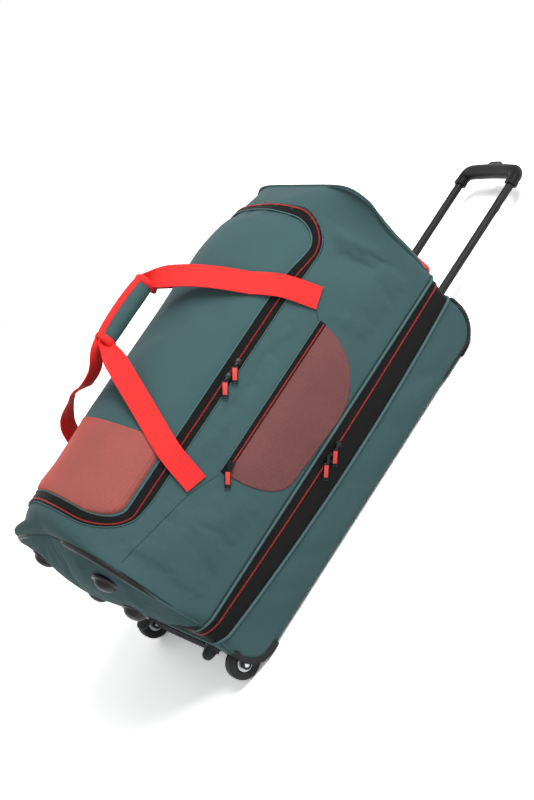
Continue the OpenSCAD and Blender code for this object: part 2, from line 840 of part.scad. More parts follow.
// Slab that follows the lean of an end seam, above the lower seam
slab_steps = 12;
function slab_side(x, leans) = [
  for (i = [0 : slab_steps])
    let (z = (end_rise + piping_d) * i / slab_steps) [x + leans * arch_lean(deck_len, z), deck_z + z]
];
module seam_slab(x, leans) {
  right = slab_side(x + piping_d, leans);
  side_prism(-bag_w, bag_w)
    polygon(concat(slab_side(x, leans), [for (i = [slab_steps : -1 : 0]) right[i]]));
}

module mouth_zip_tape() {
  color(black) framed() intersection() {
    deck_layer(-wall, 0);
    difference() {
      lid_prism(lid_tape_w);
      lid_prism(seam_gap);
      translate([0, lid_half_w, 0]) cube([2 * deck_len, bag_w, 2 * bag_w]);
    }
  }
}

module lid_panel() {
  color(teal) framed() intersection() {
    deck_layer(-wall, 0);
    difference() {
      lid_prism(-lid_tape_w - seam_gap);
      translate([-deck_len, lid_half_w - wall / 2, 0]) cube([3 * deck_len, bag_w, 2 * bag_w]);
    }
  }
}

module lid_zip_tape() {
  color(black) framed() intersection() {
    deck_layer(-wall, 0);
    difference() {
      lid_prism(0);
      lid_prism(-lid_tape_w);
      translate([-deck_len, lid_half_w - wall, 0]) cube([3 * deck_len, bag_w, 2 * bag_w]);
    }
  }
}

// Mesh laid over the wheel end of the lid
module lid_mesh() {
  color(mesh_red) framed() intersection() {
    deck_layer(seam_gap, seam_gap + skin_t);
    difference() {
      lid_prism(-lid_tape_w - 2 * seam_gap);
      translate([lid_x0 + lid_mesh_len, -bag_w, 0]) cube([deck_len, 2 * bag_w, 2 * bag_w]);
      translate([-deck_len, lid_half_w - 2 * lid_tape_w, 0]) cube([3 * deck_len, bag_w, 2 * bag_w]);
    }
  }
}

// Outline of the side pocket, drawn in x and z
module pocket_outline(top) {
  r = pocket_r;
  polygon(concat(
    [[pocket_x0, top], [pocket_x1, top]],
    [for (a = corner_angles) [pocket_x1 - r + r * cos(a), pocket_low_z + r - r * sin(a)]],
    [for (a = corner_angles) [pocket_x0 + r - r * sin(a), pocket_low_z + r - r * cos(a)]]
  ));
}
module pocket_mesh() {
  color(mesh_red) framed() intersection() {
    deck_layer(seam_gap, seam_gap + skin_t);
    side_prism(-2 * half_w, 0) pocket_outline(pocket_zip_z - pocket_tape_w / 2 - seam_gap);
  }
}
module pocket_zip_tape() {
  color(black) framed() intersection() {
    deck_layer(seam_gap, seam_gap + skin_t);
    translate([pocket_x0, -2 * half_w, pocket_zip_z - pocket_tape_w / 2])
      cube([pocket_x1 - pocket_x0, 2 * half_w, pocket_tape_w]);
  }
}

// Webbing loop on the handle end, flat along its middle and bent in to the panel at its ends
grab_steps = 24;
grab_power = 8;
function grab_curve(reach, half) = [
  for (i = [0 : grab_steps])
    let (y = half * (2 * i / grab_steps - 1)) [deck_len + reach * (1 - pow(abs(y) / half, grab_power)), y]
];
module grab_handle() {
  reach = handle_dome + grab_rise;
  color(red) framed() difference() {
    translate([0, 0, grab_z - strap_w / 2]) linear_extrude(strap_w) difference() {
      polygon(grab_curve(reach, grab_len / 2));
      polygon(grab_curve(reach - strap_t, grab_len / 2 - strap_t));
    }
    deck_form(seam_gap);
  }
}

// Hard strips on the shoulders of the wheel-end panel, just inside its seam
guard_from = 0.44;
guard_to = 0.5;
module shoulder_guards() {
  share = 1 - guard_w / half_w;
  color(black) framed() both_sides() intersection() {
    deck_layer(seam_gap, seam_gap + 2 * skin_t);
    end_prism(-2 * end_dome, 0) difference() {
      polygon([for (p = arch_ring(0, 0, 1, 0)) [p[1], p[2]]]);
      polygon([for (p = arch_ring(0, 0, share, 0)) [p[1], p[2]]]);
      translate([dome_upper_y, dome_upper_z]) circle(d = dome_flange_d + 2 * over);
    }
    translate([-2 * end_dome, half_w * guard_from, deck_z + end_rise * guard_to])
      cube([2 * end_dome, bag_w, end_rise]);
  }
}

// Flanged dome feet on the wheel-end panel, seated on its bulge
flange_t = 5;
dome_waist_d = 0.86 * dome_flange_d;
dome_tip_d = 0.4 * dome_flange_d;
module dome_foot(y, z) {
  translate([panel_x(y, z), y, z]) rotate([0, -90, 0]) {
    translate([0, 0, -end_dome]) cylinder(d = dome_flange_d, h = end_dome + flange_t);
    cylinder(d1 = dome_waist_d, d2 = dome_tip_d, h = dome_h);
  }
}
module dome_feet() {
  color(black) framed() difference() {
    both_sides() {
      dome_foot(dome_upper_y, dome_upper_z);
      dome_foot(dome_lower_y, dome_lower_z);
    }
    deck_form(seam_gap);
  }
}

// Carry strap: a ribbon that lies on the deck, leaves it on a tangent and runs through the wrap
strap_rest = strap_t / 2 + seam_gap;
strap_lift = strap_rest + skin_t + seam_gap;
leave_y = 112;
strap_part = 2.2;
neck_y = strap_t / 2 + strap_part;
wrap_r = wrap_d / 2 - wrap_t;
strap_neck_w = 2 * (sqrt(pow(wrap_r, 2) - pow(neck_y + strap_t / 2, 2)) - seam_gap);
wrap_x = (strap_x0 + strap_x1) / 2;
strap_foot_y = crest_y(strap_foot_z, strap_rest);
function lie_point(t) =
  let (y = strap_foot_y + (leave_y - strap_foot_y) * t)
  [y, crest_z(y, strap_rest + (strap_lift - strap_rest) * min(3 * t, 1))];
rise_rows = 4;
foot_rows = 6;
leg_path = concat(
  [for (i = [0 : foot_rows]) lie_point(i / foot_rows)],
  [for (i = [1 : rise_rows])
    let (t = i / rise_rows, z0 = lie_point(1)[1]) [leave_y + (neck_y - leave_y) * t, z0 + (wrap_z - z0) * t]]
);
leg_count = len(leg_path);
function leg_x(i) = strap_x0 + (wrap_x - wrap_len / 2 - strap_x0) * i / (leg_count - 1);
half_path = [for (i = [0 : leg_count - 1]) [leg_x(i), leg_path[i][0], leg_path[i][1]]];
strap_path = concat(
  half_path,
  [for (i = [leg_count - 1 : -1 : 0]) [2 * wrap_x - half_path[i][0], half_path[i][1], half_path[i][2]]]
);
function unit(v) = v / norm(v);
function run_dir(path, i) = unit(path[min(i + 1, len(path) - 1)] - path[max(i - 1, 0)]);
function lie_dir(path, i) =
  let (k = i < leg_count ? i : len(path) - 1 - i, a = max(k - 1, 0), b = min(k + 1, leg_count - 1),
    d = [0, path[b][1] - path[a][1], path[b][2] - path[a][2]])
  k >= leg_count - 1 ? [0, 1, 0] : unit([0, d[2], -d[1]]);
function width_at(i) =
  let (k = min(i, 2 * leg_count - 1 - i)) k < leg_count - 2 ? strap_w
    : k == leg_count - 2 ? (strap_w + strap_neck_w) / 2 : strap_neck_w;
function ribbon_ring(path, i) =
  let (n = lie_dir(path, i), b = unit(cross(n, run_dir(path, i))),
    w = b * width_at(i) / 2, t = n * strap_t / 2)
  [path[i] - w - t, path[i] + w - t, path[i] + w + t, path[i] - w + t];
module strap_ribbon() {
  loft([for (i = [0 : len(strap_path) - 1]) ribbon_ring(strap_path, i)]);
}
module near_strap() {
  color(red) framed() mirror([0, 1, 0]) strap_ribbon();
}
module far_strap() {
  color(red) framed() strap_ribbon();
}

// Padded wrap round the two straps, with its slit on the far side
wrap_slit = 10;
module grip_wrap() {
  h = wrap_len - 2 * wrap_t;
  color(teal) framed() translate([wrap_x - h / 2, 0, wrap_z]) rotate([0, 90, 0]) difference() {
    cylinder(d = wrap_d, h = h);
    translate([0, 0, -over]) cylinder(r = wrap_r, h = h + 2 * over);
    translate([-wrap_slit / 2, 0, -over]) cube([wrap_slit, wrap_d, h + 2 * over]);
  }
}

// Zip slider: a body astride the teeth with two ears that carry the puller's pin
pin_d = 2.4;
ear_t = 2;
module slider_body() {
  color(black) difference() {
    union() {
      translate([-slider_len / 2, -slider_w / 2, 0]) cube([slider_len, slider_w, slider_h / 2]);
      for (s = [-1, 1])
        translate([0, s * (slider_w - ear_t) / 2 - ear_t / 2, 0]) cube([2 * pin_d, ear_t, slider_h + pin_d]);
    }
    translate([pin_d, 0, slider_h]) rotate([90, 0, 0])
      cylinder(d = pin_d + 2 * run_gap, h = 2 * slider_w, center = true);
  }
}
// Puller: a pin in the ears, a neck and a plate with a hole, which hangs aslant from the zip
neck_len = 7.5;
module puller_body() {
  neck_w = slider_w - 2 * (ear_t + slide_gap);
  plate_len = puller_len - neck_len;
  color(red) translate([pin_d, 0, slider_h]) {
    rotate([90, 0, 0]) cylinder(d = pin_d, h = slider_w - over, center = true);
    translate([0, 0, -puller_t / 2]) linear_extrude(puller_t) {
      translate([0, -neck_w / 2]) square([neck_len, neck_w]);
      translate([neck_len, 0]) rotate(puller_turn) difference() {
        translate([-neck_w / 6, -puller_w / 2]) square([plate_len + neck_w / 6, puller_w]);
        translate([plate_len - puller_w / 2, 0]) circle(d = puller_w / 2);
      }
    }
  }
}

// Places of the zips that the sliders run on, and the tilt of the surface there
lid_zip_place = [-lid_half_w, hinge_z];
pocket_zip_place = [-crest_y(pocket_zip_z, 0), pocket_zip_z];
deck_zip_place = [-half_w, zip_z];
function surface_tilt(y) = atan2(crest_z(abs(y) - 1, 0) - crest_z(abs(y) + 1, 0), 2);
slider_lift = seam_gap + skin_t + slide_gap;
module at_zip(x, place, tilt, lift) {
  framed() translate([x, place[0], place[1]]) rotate([tilt, 0, 0]) translate([0, 0, lift]) rotate([0, 0, 180])
    children();
}
lid_slider_x = [378, 350];
deck_slider_x = [366, 339];
pocket_slider_x = pocket_x0 + slider_len;
module lid_place(k) {
  at_zip(lid_slider_x[k], lid_zip_place, surface_tilt(lid_half_w), seam_gap) children();
}
module deck_place(k) {
  at_zip(deck_slider_x[k], deck_zip_place, 90, seam_gap) children();
}
module pocket_place() {
  at_zip(pocket_slider_x, pocket_zip_place, surface_tilt(crest_y(pocket_zip_z, 0)), slider_lift) children();
}
module lid_slider_a() {
  lid_place(0) slider_body();
}
module lid_puller_a() {
  lid_place(0) puller_body();
}
module lid_slider_b() {
  lid_place(1) slider_body();
}
module lid_puller_b() {
  lid_place(1) puller_body();
}
module pocket_slider() {
  pocket_place() slider_body();
}
module pocket_puller() {
  pocket_place() puller_body();
}
module deck_slider_a() {
  deck_place(0) slider_body();
}
module deck_puller_a() {
  deck_place(0) puller_body();
}
module deck_slider_b() {
  deck_place(1) slider_body();
}
module deck_puller_b() {
  deck_place(1) puller_body();
}

base_tub();
base_board();
skid_rails();
base_piping();
sleeve_lining();
base_zip_tape();
handle_end_guard();
near_wheel_housing();
far_wheel_housing();
stand_feet();
wheel_end_skirt();
housing_screws();
near_axle();
far_axle();
near_tyre();
near_hub();
near_bush();
far_tyre();
far_hub();
far_bush();
near_sleeve();
far_sleeve();
sleeve_saddles();
sleeve_cross_piece();
exit_plate();
near_tube();
far_tube();
glide_bushes();
tube_collars();
grip_bar();
push_button();
button_spring();
push_rods();
tube_catch();
upper_shell();
divider_panel();
deck_zip_tape();
deck_piping();
mouth_zip_tape();
pocket_mesh();
pocket_zip_tape();
grab_handle();
shoulder_guards();
dome_feet();
lid_panel();
lid_mesh();
lid_zip_tape();
near_strap();
far_strap();
grip_wrap();
lid_slider_a();
lid_puller_a();
lid_slider_b();
lid_puller_b();
pocket_slider();
pocket_puller();
deck_slider_a();
deck_puller_a();
deck_slider_b();
deck_puller_b();
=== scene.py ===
"""Looks of a rolling duffel bag: its cloth, trim and finishes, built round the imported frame.

Shapes are worked out in millimetres, with x counted from the wheel axles and z from the ground, and are then
placed in the frame in metres.
"""

import logging
import math
from collections.abc import Callable, Iterable, Sequence
from dataclasses import dataclass, field
from enum import Enum
from typing import Any

import bmesh
import bpy
from bmesh.types import BMesh
from bpy.types import Material, Node, NodeSocket, NodeTree, Object
from mathutils import Matrix, Vector, noise
from mathutils.bvhtree import BVHTree


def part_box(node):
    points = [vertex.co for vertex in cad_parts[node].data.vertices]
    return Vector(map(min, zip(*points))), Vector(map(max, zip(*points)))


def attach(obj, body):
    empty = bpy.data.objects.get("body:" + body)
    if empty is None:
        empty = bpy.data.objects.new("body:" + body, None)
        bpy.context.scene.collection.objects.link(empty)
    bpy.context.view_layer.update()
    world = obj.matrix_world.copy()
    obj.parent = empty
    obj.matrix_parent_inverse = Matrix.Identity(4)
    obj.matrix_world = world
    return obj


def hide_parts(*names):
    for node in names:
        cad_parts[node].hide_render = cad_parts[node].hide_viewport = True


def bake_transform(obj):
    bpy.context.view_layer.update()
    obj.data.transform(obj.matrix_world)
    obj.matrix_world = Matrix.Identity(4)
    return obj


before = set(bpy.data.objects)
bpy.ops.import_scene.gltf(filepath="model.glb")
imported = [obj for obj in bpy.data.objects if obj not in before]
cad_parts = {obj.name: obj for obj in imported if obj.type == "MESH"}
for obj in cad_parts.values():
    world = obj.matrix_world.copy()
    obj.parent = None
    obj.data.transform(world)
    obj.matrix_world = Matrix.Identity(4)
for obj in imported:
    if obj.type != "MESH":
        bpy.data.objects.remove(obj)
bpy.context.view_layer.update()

LOG = logging.getLogger("duffel")
MM = 0.001
AXLE_X = (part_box("near_axle")[0].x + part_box("near_axle")[1].x) / 2
# Repeat of Blender's wave texture at a scale of 1.
PITCH_OF_WAVE = 2 * math.pi / 20
# Breadths, in millimetres, of a patch of dye, of a yarn and of a worn patch.
DYE_MM, YARN_MM, WEAR_MM = 1000 / 14, 1000 / 420, 1000 / 30
# Metres within which two points of a mesh are one.
WELD = 1e-6
# Millimetres of cloth in a hinge strip.
STRIP_WALL = 0.8
TO_FRAME = Matrix.Translation((AXLE_X, 0, 0)) @ Matrix.Scale(MM, 4)


Pair = tuple[float, float]
Triple = tuple[float, float, float]


class Body(Enum):
    """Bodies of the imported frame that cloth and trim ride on."""

    BASE = "base"
    DECK = "deck"
    LID = "lid"
    NEAR_STRAP = "near_carry_strap"
    FAR_STRAP = "far_carry_strap"


class Pattern(Enum):
    """How a cloth's threads lie."""

    PLAIN = "plain"
    RIBBED = "ribbed"
    NET = "net"


class Side(Enum):
    """Side of the bag, as the sign of y."""

    NEAR = -1
    FAR = 1

    @property
    def label(self) -> str:
        """The side's word in the names of pieces."""
        return self.name.lower()


def place(point: Vector) -> Vector:
    """Turns a point in millimetres from the axles into the frame's metres."""
    return Vector((AXLE_X + point.x * MM, point.y * MM, point.z * MM))


def unplace(point: Vector) -> Vector:
    """Turns a point in the frame's metres into millimetres from the axles."""
    return Vector(((point.x - AXLE_X) / MM, point.y / MM, point.z / MM))


def clamp(value: float, low: float = 0.0, high: float = 1.0) -> float:
    """Keeps a value between two limits."""
    return min(max(value, low), high)


def smooth(value: float) -> float:
    """Eases a share from 0 to 1."""
    t = clamp(value)
    return t * t * (3 - 2 * t)


def bump(value: float, middle: float, reach: float) -> float:
    """A soft hill of height 1 about a middle."""
    return math.exp(-(((value - middle) / reach) ** 2))


def between(first: float, last: float, share: float) -> float:
    """A value at a share of the way from one to another."""
    return first + (last - first) * share


def shares(steps: int) -> list[float]:
    """Shares from 0 to 1 in even steps."""
    return [i / steps for i in range(steps + 1)]


def linear(code: str) -> tuple[float, float, float, float]:
    """Turns an sRGB hex colour into linear light.

    Args:
        code: Six hex digits after a hash.

    Returns:
        Linear red, green, blue and an alpha of 1.
    """
    parts = [int(code[i : i + 2], 16) / 255 for i in (1, 3, 5)]
    red, green, blue = (c / 12.92 if c <= 0.04045 else ((c + 0.055) / 1.055) ** 2.4 for c in parts)
    return red, green, blue, 1.0


def add_node(tree: NodeTree, kind: str, inputs: dict[Any, Any] | None = None, **settings: Any) -> Node:
    """Adds a shader node with its settings and links.

    Args:
        tree: Node tree to add to.
        kind: Blender's name of the node.
        inputs: Socket name or number to a value or to another node's output.
        settings: Attributes of the node.

    Returns:
        The new node.
    """
    node = tree.nodes.new(kind)
    for name, value in settings.items():
        setattr(node, name, value)
    for key, value in (inputs or {}).items():
        if isinstance(value, NodeSocket):
            tree.links.new(value, node.inputs[key])
        else:
            node.inputs[key].default_value = value
    return node


def blank_material(name: str) -> tuple[Material, NodeTree]:
    """Makes a material with an empty node tree.

    Args:
        name: Name of the real material.

    Returns:
        The material and its tree.
    """
    material = bpy.data.materials.new(name)
    material.use_nodes = True
    material.node_tree.nodes.clear()
    return material, material.node_tree


@dataclass(frozen=True)
class Finish:
    """A real material with its slot and its two colours."""

    name: str
    slot: str
    colour: str
    shade: str

    def material(self) -> Material:
        """Makes the material once and gives it again when asked."""
        found = bpy.data.materials.get(self.name)
        if found:
            return found
        material, tree = blank_material(self.name)
        shader = add_node(tree, "ShaderNodeBsdfPrincipled", self._looks(tree))
        add_node(tree, "ShaderNodeOutputMaterial", {"Surface": shader.outputs[0]})
        return material

    def _looks(self, tree: NodeTree) -> dict[str, Any]:
        """Draws the finish, and gives the shader's inputs by their names."""
        raise NotImplementedError


@dataclass(frozen=True)
class Cloth(Finish):
    """A woven or knitted cloth whose threads follow the piece's own flat pattern map."""

    pattern: Pattern
    thread_mm: float
    relief_mm: float
    contrast: float
    roughness: float
    sheen: float
    # colour of a painted sheen, and the span of the pattern map's y over which it comes in
    painted_sheen_colour: str = ""
    painted_sheen_from: Pair = (0.0, 1.0)

    def _threads(self, tree: NodeTree, flat: NodeSocket) -> NodeSocket:
        """Draws the threads as a height from 0 to 1.

        Args:
            tree: Material tree.
            flat: Flat pattern coordinates, in metres.

        Returns:
            Output socket of the height.
        """
        scale = PITCH_OF_WAVE / (self.thread_mm * MM)
        warp, weft = (
            add_node(tree, "ShaderNodeTexWave", {"Vector": flat, "Scale": scale}, bands_direction=way)
            for way in ("X", "Y")
        )
        if self.pattern is Pattern.RIBBED:
            weft.inputs["Scale"].default_value = scale / 3
        operation = "MULTIPLY" if self.pattern is Pattern.PLAIN else "MAXIMUM"
        both = {0: warp.outputs["Fac"], 1: weft.outputs["Fac"]}
        return add_node(tree, "ShaderNodeMath", both, operation=operation).outputs[0]

    def _looks(self, tree: NodeTree) -> dict[str, Any]:
        """Draws threads, uneven dye and the relief of the weave.

        Args:
            tree: Material tree.

        Returns:
            Inputs of the shader by their names.
        """
        maps = add_node(tree, "ShaderNodeTexCoord").outputs
        flat, spot = maps["UV"], maps["Object"]
        threads = self._threads(tree, flat)
        # Dye takes unevenly over a hand's breadth, and single yarns differ a little.
        dye, yarn = (
            add_node(tree, "ShaderNodeTexNoise", {"Vector": spot, "Scale": 1 / (size * MM), "Detail": detail})
            for size, detail in ((DYE_MM, 3.0), (YARN_MM, 2.0))
        )
        both = {0: dye.outputs["Fac"], 1: yarn.outputs["Fac"]}
        uneven = add_node(tree, "ShaderNodeMath", both, operation="MULTIPLY").outputs[0]
        # The threads' tops take the colour and the hollows between them the shade colour: partly the yarn's own tone
        # and partly painted shade in the weave's hollows.
        depth = add_node(tree, "ShaderNodeMapRange", {"Value": threads, "To Max": self.contrast}).outputs[0]
        share = add_node(tree, "ShaderNodeMath", {0: depth, 1: uneven}, operation="ADD", use_clamp=True).outputs[0]
        colours = {0: share, 6: linear(self.shade), 7: linear(self.colour)}
        tint = add_node(tree, "ShaderNodeMix", colours, data_type="RGBA").outputs[2]
        if self.painted_sheen_colour:
            # Towards the far edge the colour goes over into a brighter red: a painted sheen for the grazing view
            # past the bag's shoulder, where the threads seem to close over the backing.
            along = add_node(tree, "ShaderNodeSeparateXYZ", {0: flat}).outputs[1]
            near, far = self.painted_sheen_from
            limits = {"Value": along, "From Min": near, "From Max": far}
            part = add_node(tree, "ShaderNodeMapRange", limits, interpolation_type="SMOOTHSTEP").outputs[0]
            colours = {0: part, 6: tint, 7: linear(self.painted_sheen_colour)}
            tint = add_node(tree, "ShaderNodeMix", colours, data_type="RGBA").outputs[2]
        weave = {"Strength": 1.0, "Distance": self.relief_mm * MM, "Height": threads}
        return {
            "Base Color": tint,
            "Roughness": self.roughness,
            "Sheen Weight": self.sheen,
            "Sheen Roughness": 0.4,
            "Specular IOR Level": 0.15,
            "Normal": add_node(tree, "ShaderNodeBump", weave).outputs[0],
        }


@dataclass(frozen=True)
class Solid(Finish):
    """A moulded, rolled or drawn material whose grain lies on the object's own coordinates."""

    roughness: float
    metallic: float
    grain_mm: float
    relief_mm: float
    edge_mm: float = 0.6
    gloss: float = 0.25

    def _looks(self, tree: NodeTree) -> dict[str, Any]:
        """Draws grain, wear and rounded edges.

        Args:
            tree: Material tree.

        Returns:
            Inputs of the shader by their names.
        """
        spot = add_node(tree, "ShaderNodeTexCoord").outputs["Object"]
        grain, wear = (
            add_node(tree, "ShaderNodeTexNoise", {"Vector": spot, "Scale": 1 / (size * MM), "Detail": detail})
            for size, detail in ((self.grain_mm, 3.0), (WEAR_MM, 5.0))
        )
        colours = {0: wear.outputs["Fac"], 6: linear(self.shade), 7: linear(self.colour)}
        tint = add_node(tree, "ShaderNodeMix", colours, data_type="RGBA").outputs[2]
        uneven = 0.06
        smoothest, roughest = self.roughness - uneven, self.roughness + uneven
        limits = {"From Min": 0.3, "From Max": 0.7, "To Min": smoothest, "To Max": roughest}
        polish = add_node(tree, "ShaderNodeMapRange", {"Value": wear.outputs["Fac"], **limits}).outputs[0]
        edge = add_node(tree, "ShaderNodeBevel", {"Radius": self.edge_mm * MM}, samples=4).outputs[0]
        skin = {"Distance": self.relief_mm * MM, "Height": grain.outputs["Fac"], "Strength": 1.0, "Normal": edge}
        return {
            "Base Color": tint,
            "Roughness": polish,
            "Metallic": self.metallic,
            "Specular IOR Level": self.gloss,
            "Normal": add_node(tree, "ShaderNodeBump", skin).outputs[0],
        }


# Polyester pack cloth with a coated back: matt, a fine even weave and a faint bloom. Its 0.5 mm threads are
# drawn 1.6 mm wide, because they would not show otherwise.
TEAL_POLYESTER = Cloth(
    "teal_polyester_cloth", "teal_polyester", "#506f71", "#415d5f", Pattern.PLAIN, 1.6, 0.12, 0.5, 0.78, 0.12
)
# Rolled edge of the same cloth over a cord, painted lighter as a painted highlight on its crown.
TEAL_PIPING_PAINTED_HIGHLIGHT = Cloth(
    "teal_polyester_piping", "teal_polyester", "#5f8081", "#4b696b", Pattern.PLAIN, 1.4, 0.06, 0.5, 0.65, 0.15
)
# Black polyester zip tape and gusset cloth, a close twill with little shine. Threads are drawn 1.5 mm wide.
BLACK_TAPE = Cloth("black_twill_tape", "black_tape", "#1a1a1b", "#111112", Pattern.PLAIN, 1.5, 0.1, 0.5, 0.82, 0.1)
# Bright red nylon webbing with cross ribs. Ribs are drawn 2.4 mm apart so that they show.
RED_WEBBING = Cloth(
    "red_nylon_webbing", "red_webbing", "#ff3b39", "#f53634", Pattern.RIBBED, 2.4, 0.1, 0.6, 0.66, 0.0
)
# Red knitted mesh over the lid's cloth, with a painted sheen that makes it brighter towards its far edge, past the
# shoulder. Holes are drawn 2.6 mm apart so that they show.
LID_MESH_AND_SHEEN = Cloth(
    "red_knit_mesh", "red_mesh", "#c4685f", "#8e5653", Pattern.NET, 2.6, 0.3, 0.55, 0.7, 0.1,
    "#d9483d", (0.10, 0.22),
)
# The same mesh on the pocket, painted darker as painted shade: the shade inside the pocket shows through it, and the
# upright side gets less light than the lid.
POCKET_MESH_PAINTED_SHADE = Cloth(
    "red_knit_mesh_on_dark", "red_mesh", "#8d5957", "#6a4545", Pattern.NET, 2.6, 0.3, 0.55, 0.7, 0.1
)
# Thin grey taffeta lining with a soft shine.
LINING = Cloth("grey_taffeta_lining", "lining_cloth", "#3a3d40", "#2c2f31", Pattern.PLAIN, 2.2, 0.05, 0.5, 0.5, 0.2)
# Red polyester coil of the zips, smooth and slightly glossy.
RED_COIL = Solid("red_polyester_coil", "puller_red", "#c43d37", "#a0332e", 0.4, 0.0, 1.0, 0.01, 0.2)
# Sewing thread in the cloth's own colour, painted darker as painted shade in its holes.
TEAL_THREAD_AND_SHADE = Solid("teal_sewing_thread", "teal_polyester", "#2f4446", "#283b3c", 0.7, 0.0, 0.6, 0.02, 0.1)
RED_THREAD_AND_SHADE = Solid("red_sewing_thread", "red_webbing", "#b52b2b", "#9c2424", 0.7, 0.0, 0.6, 0.02, 0.1)

# Black ABS, moulded with a fine spark grain that spreads the highlights.
BLACK_ABS = Solid("black_abs_moulding", "black_moulding", "#181819", "#121213", 0.5, 0.0, 0.9, 0.04)
# Polypropylene of the flat parts under the bag, scuffed to a dull black.
MATT_PP = Solid(
    "black_scuffed_polypropylene", "black_moulding", "#1b1b1c", "#151516", 0.78, 0.0, 1.4, 0.05, gloss=0.08
)
# Black ABS with a plainer, glossier face on the feet and strips.
GLOSS_ABS = Solid("black_abs_semi_gloss", "black_moulding", "#1a1a1b", "#141415", 0.36, 0.0, 1.2, 0.02)
# Flexible black edge guard, extruded and satin.
EDGE_GUARD = Solid("black_tpe_edge_guard", "edge_binding", "#222223", "#1a1a1b", 0.6, 0.0, 1.0, 0.03)
# Recycled polyethylene board, dull and a little mottled.
BOARD = Solid("black_pe_board", "board_plastic", "#2b2b2b", "#1e1e1e", 0.6, 0.0, 3.0, 0.05)
# Zinc-plated steel, bright with faint drawing marks.
STEEL = Solid("zinc_plated_steel", "steel", "#c4c6c9", "#aeb1b5", 0.3, 1.0, 0.5, 0.01)
# Polyurethane tyre, dark and slightly dusty.
TYRE = Solid("black_polyurethane_tyre", "tyre_rubber", "#1b1b1c", "#262627", 0.6, 0.0, 1.2, 0.05)
# Silver-painted ABS hub.
HUB = Solid("silver_painted_hub", "hub_silver", "#b4b6b9", "#9a9ca0", 0.32, 0.8, 0.8, 0.01)
# Mill-finish aluminium of the sleeves.
ALUMINIUM = Solid("mill_aluminium", "sleeve_aluminium", "#a9adb2", "#989ca1", 0.4, 1.0, 0.4, 0.01)
# Black anodised aluminium of the pull tubes: dark metal with a clear highlight along its edges.
TUBE_BLACK = Solid("black_anodised_aluminium", "tube_paint", "#1b1b1c", "#151516", 0.34, 0.25, 0.5, 0.01, 0.9)
# Acetal glides, dull and dark.
NYLON = Solid("dark_acetal_glide", "glide_nylon", "#3a3d42", "#2f3236", 0.5, 0.0, 1.0, 0.02)
# Soft-touch grip plastic, matt black.
GRIP = Solid("black_soft_touch_grip", "grip_plastic", "#131314", "#0e0e0f", 0.52, 0.0, 0.8, 0.03, 1.0, 0.18)
# Button plastic, a shade lighter and smoother than the grip.
BUTTON = Solid("grey_abs_button", "button_plastic", "#2a2b2e", "#222326", 0.35, 0.0, 1.0, 0.02, 0.8)
# Black enamelled zinc casting of sliders and puller frames.
ZIP_METAL = Solid("black_enamelled_zinc", "zip_metal", "#242426", "#1a1a1c", 0.28, 0.6, 0.6, 0.01, 0.3)
# Red soft rubber insert of the pullers.
PULLER_RED = Solid("red_rubber_insert", "puller_red", "#f4524c", "#e04540", 0.5, 0.0, 0.8, 0.02, 0.4)

NODE_FINISHES: dict[Solid, tuple[str, ...]] = {
    BLACK_ABS: ("near_wheel_housing", "far_wheel_housing", "exit_plate", "sleeve_saddles", "sleeve_cross_piece"),
    MATT_PP: ("wheel_end_skirt", "skid_rails"),
    GLOSS_ABS: ("tube_catch",),
    EDGE_GUARD: ("handle_end_guard",),
    BOARD: ("base_board",),
    STEEL: ("housing_screws", "near_axle", "far_axle", "near_bush", "far_bush", "button_spring", "push_rods"),
    TYRE: ("near_tyre", "far_tyre"),
    HUB: ("near_hub", "far_hub"),
    ALUMINIUM: ("near_sleeve", "far_sleeve"),
    TUBE_BLACK: ("near_tube", "far_tube"),
    NYLON: ("glide_bushes",),
    GRIP: ("grip_bar", "tube_collars"),
    BUTTON: ("push_button",),
}


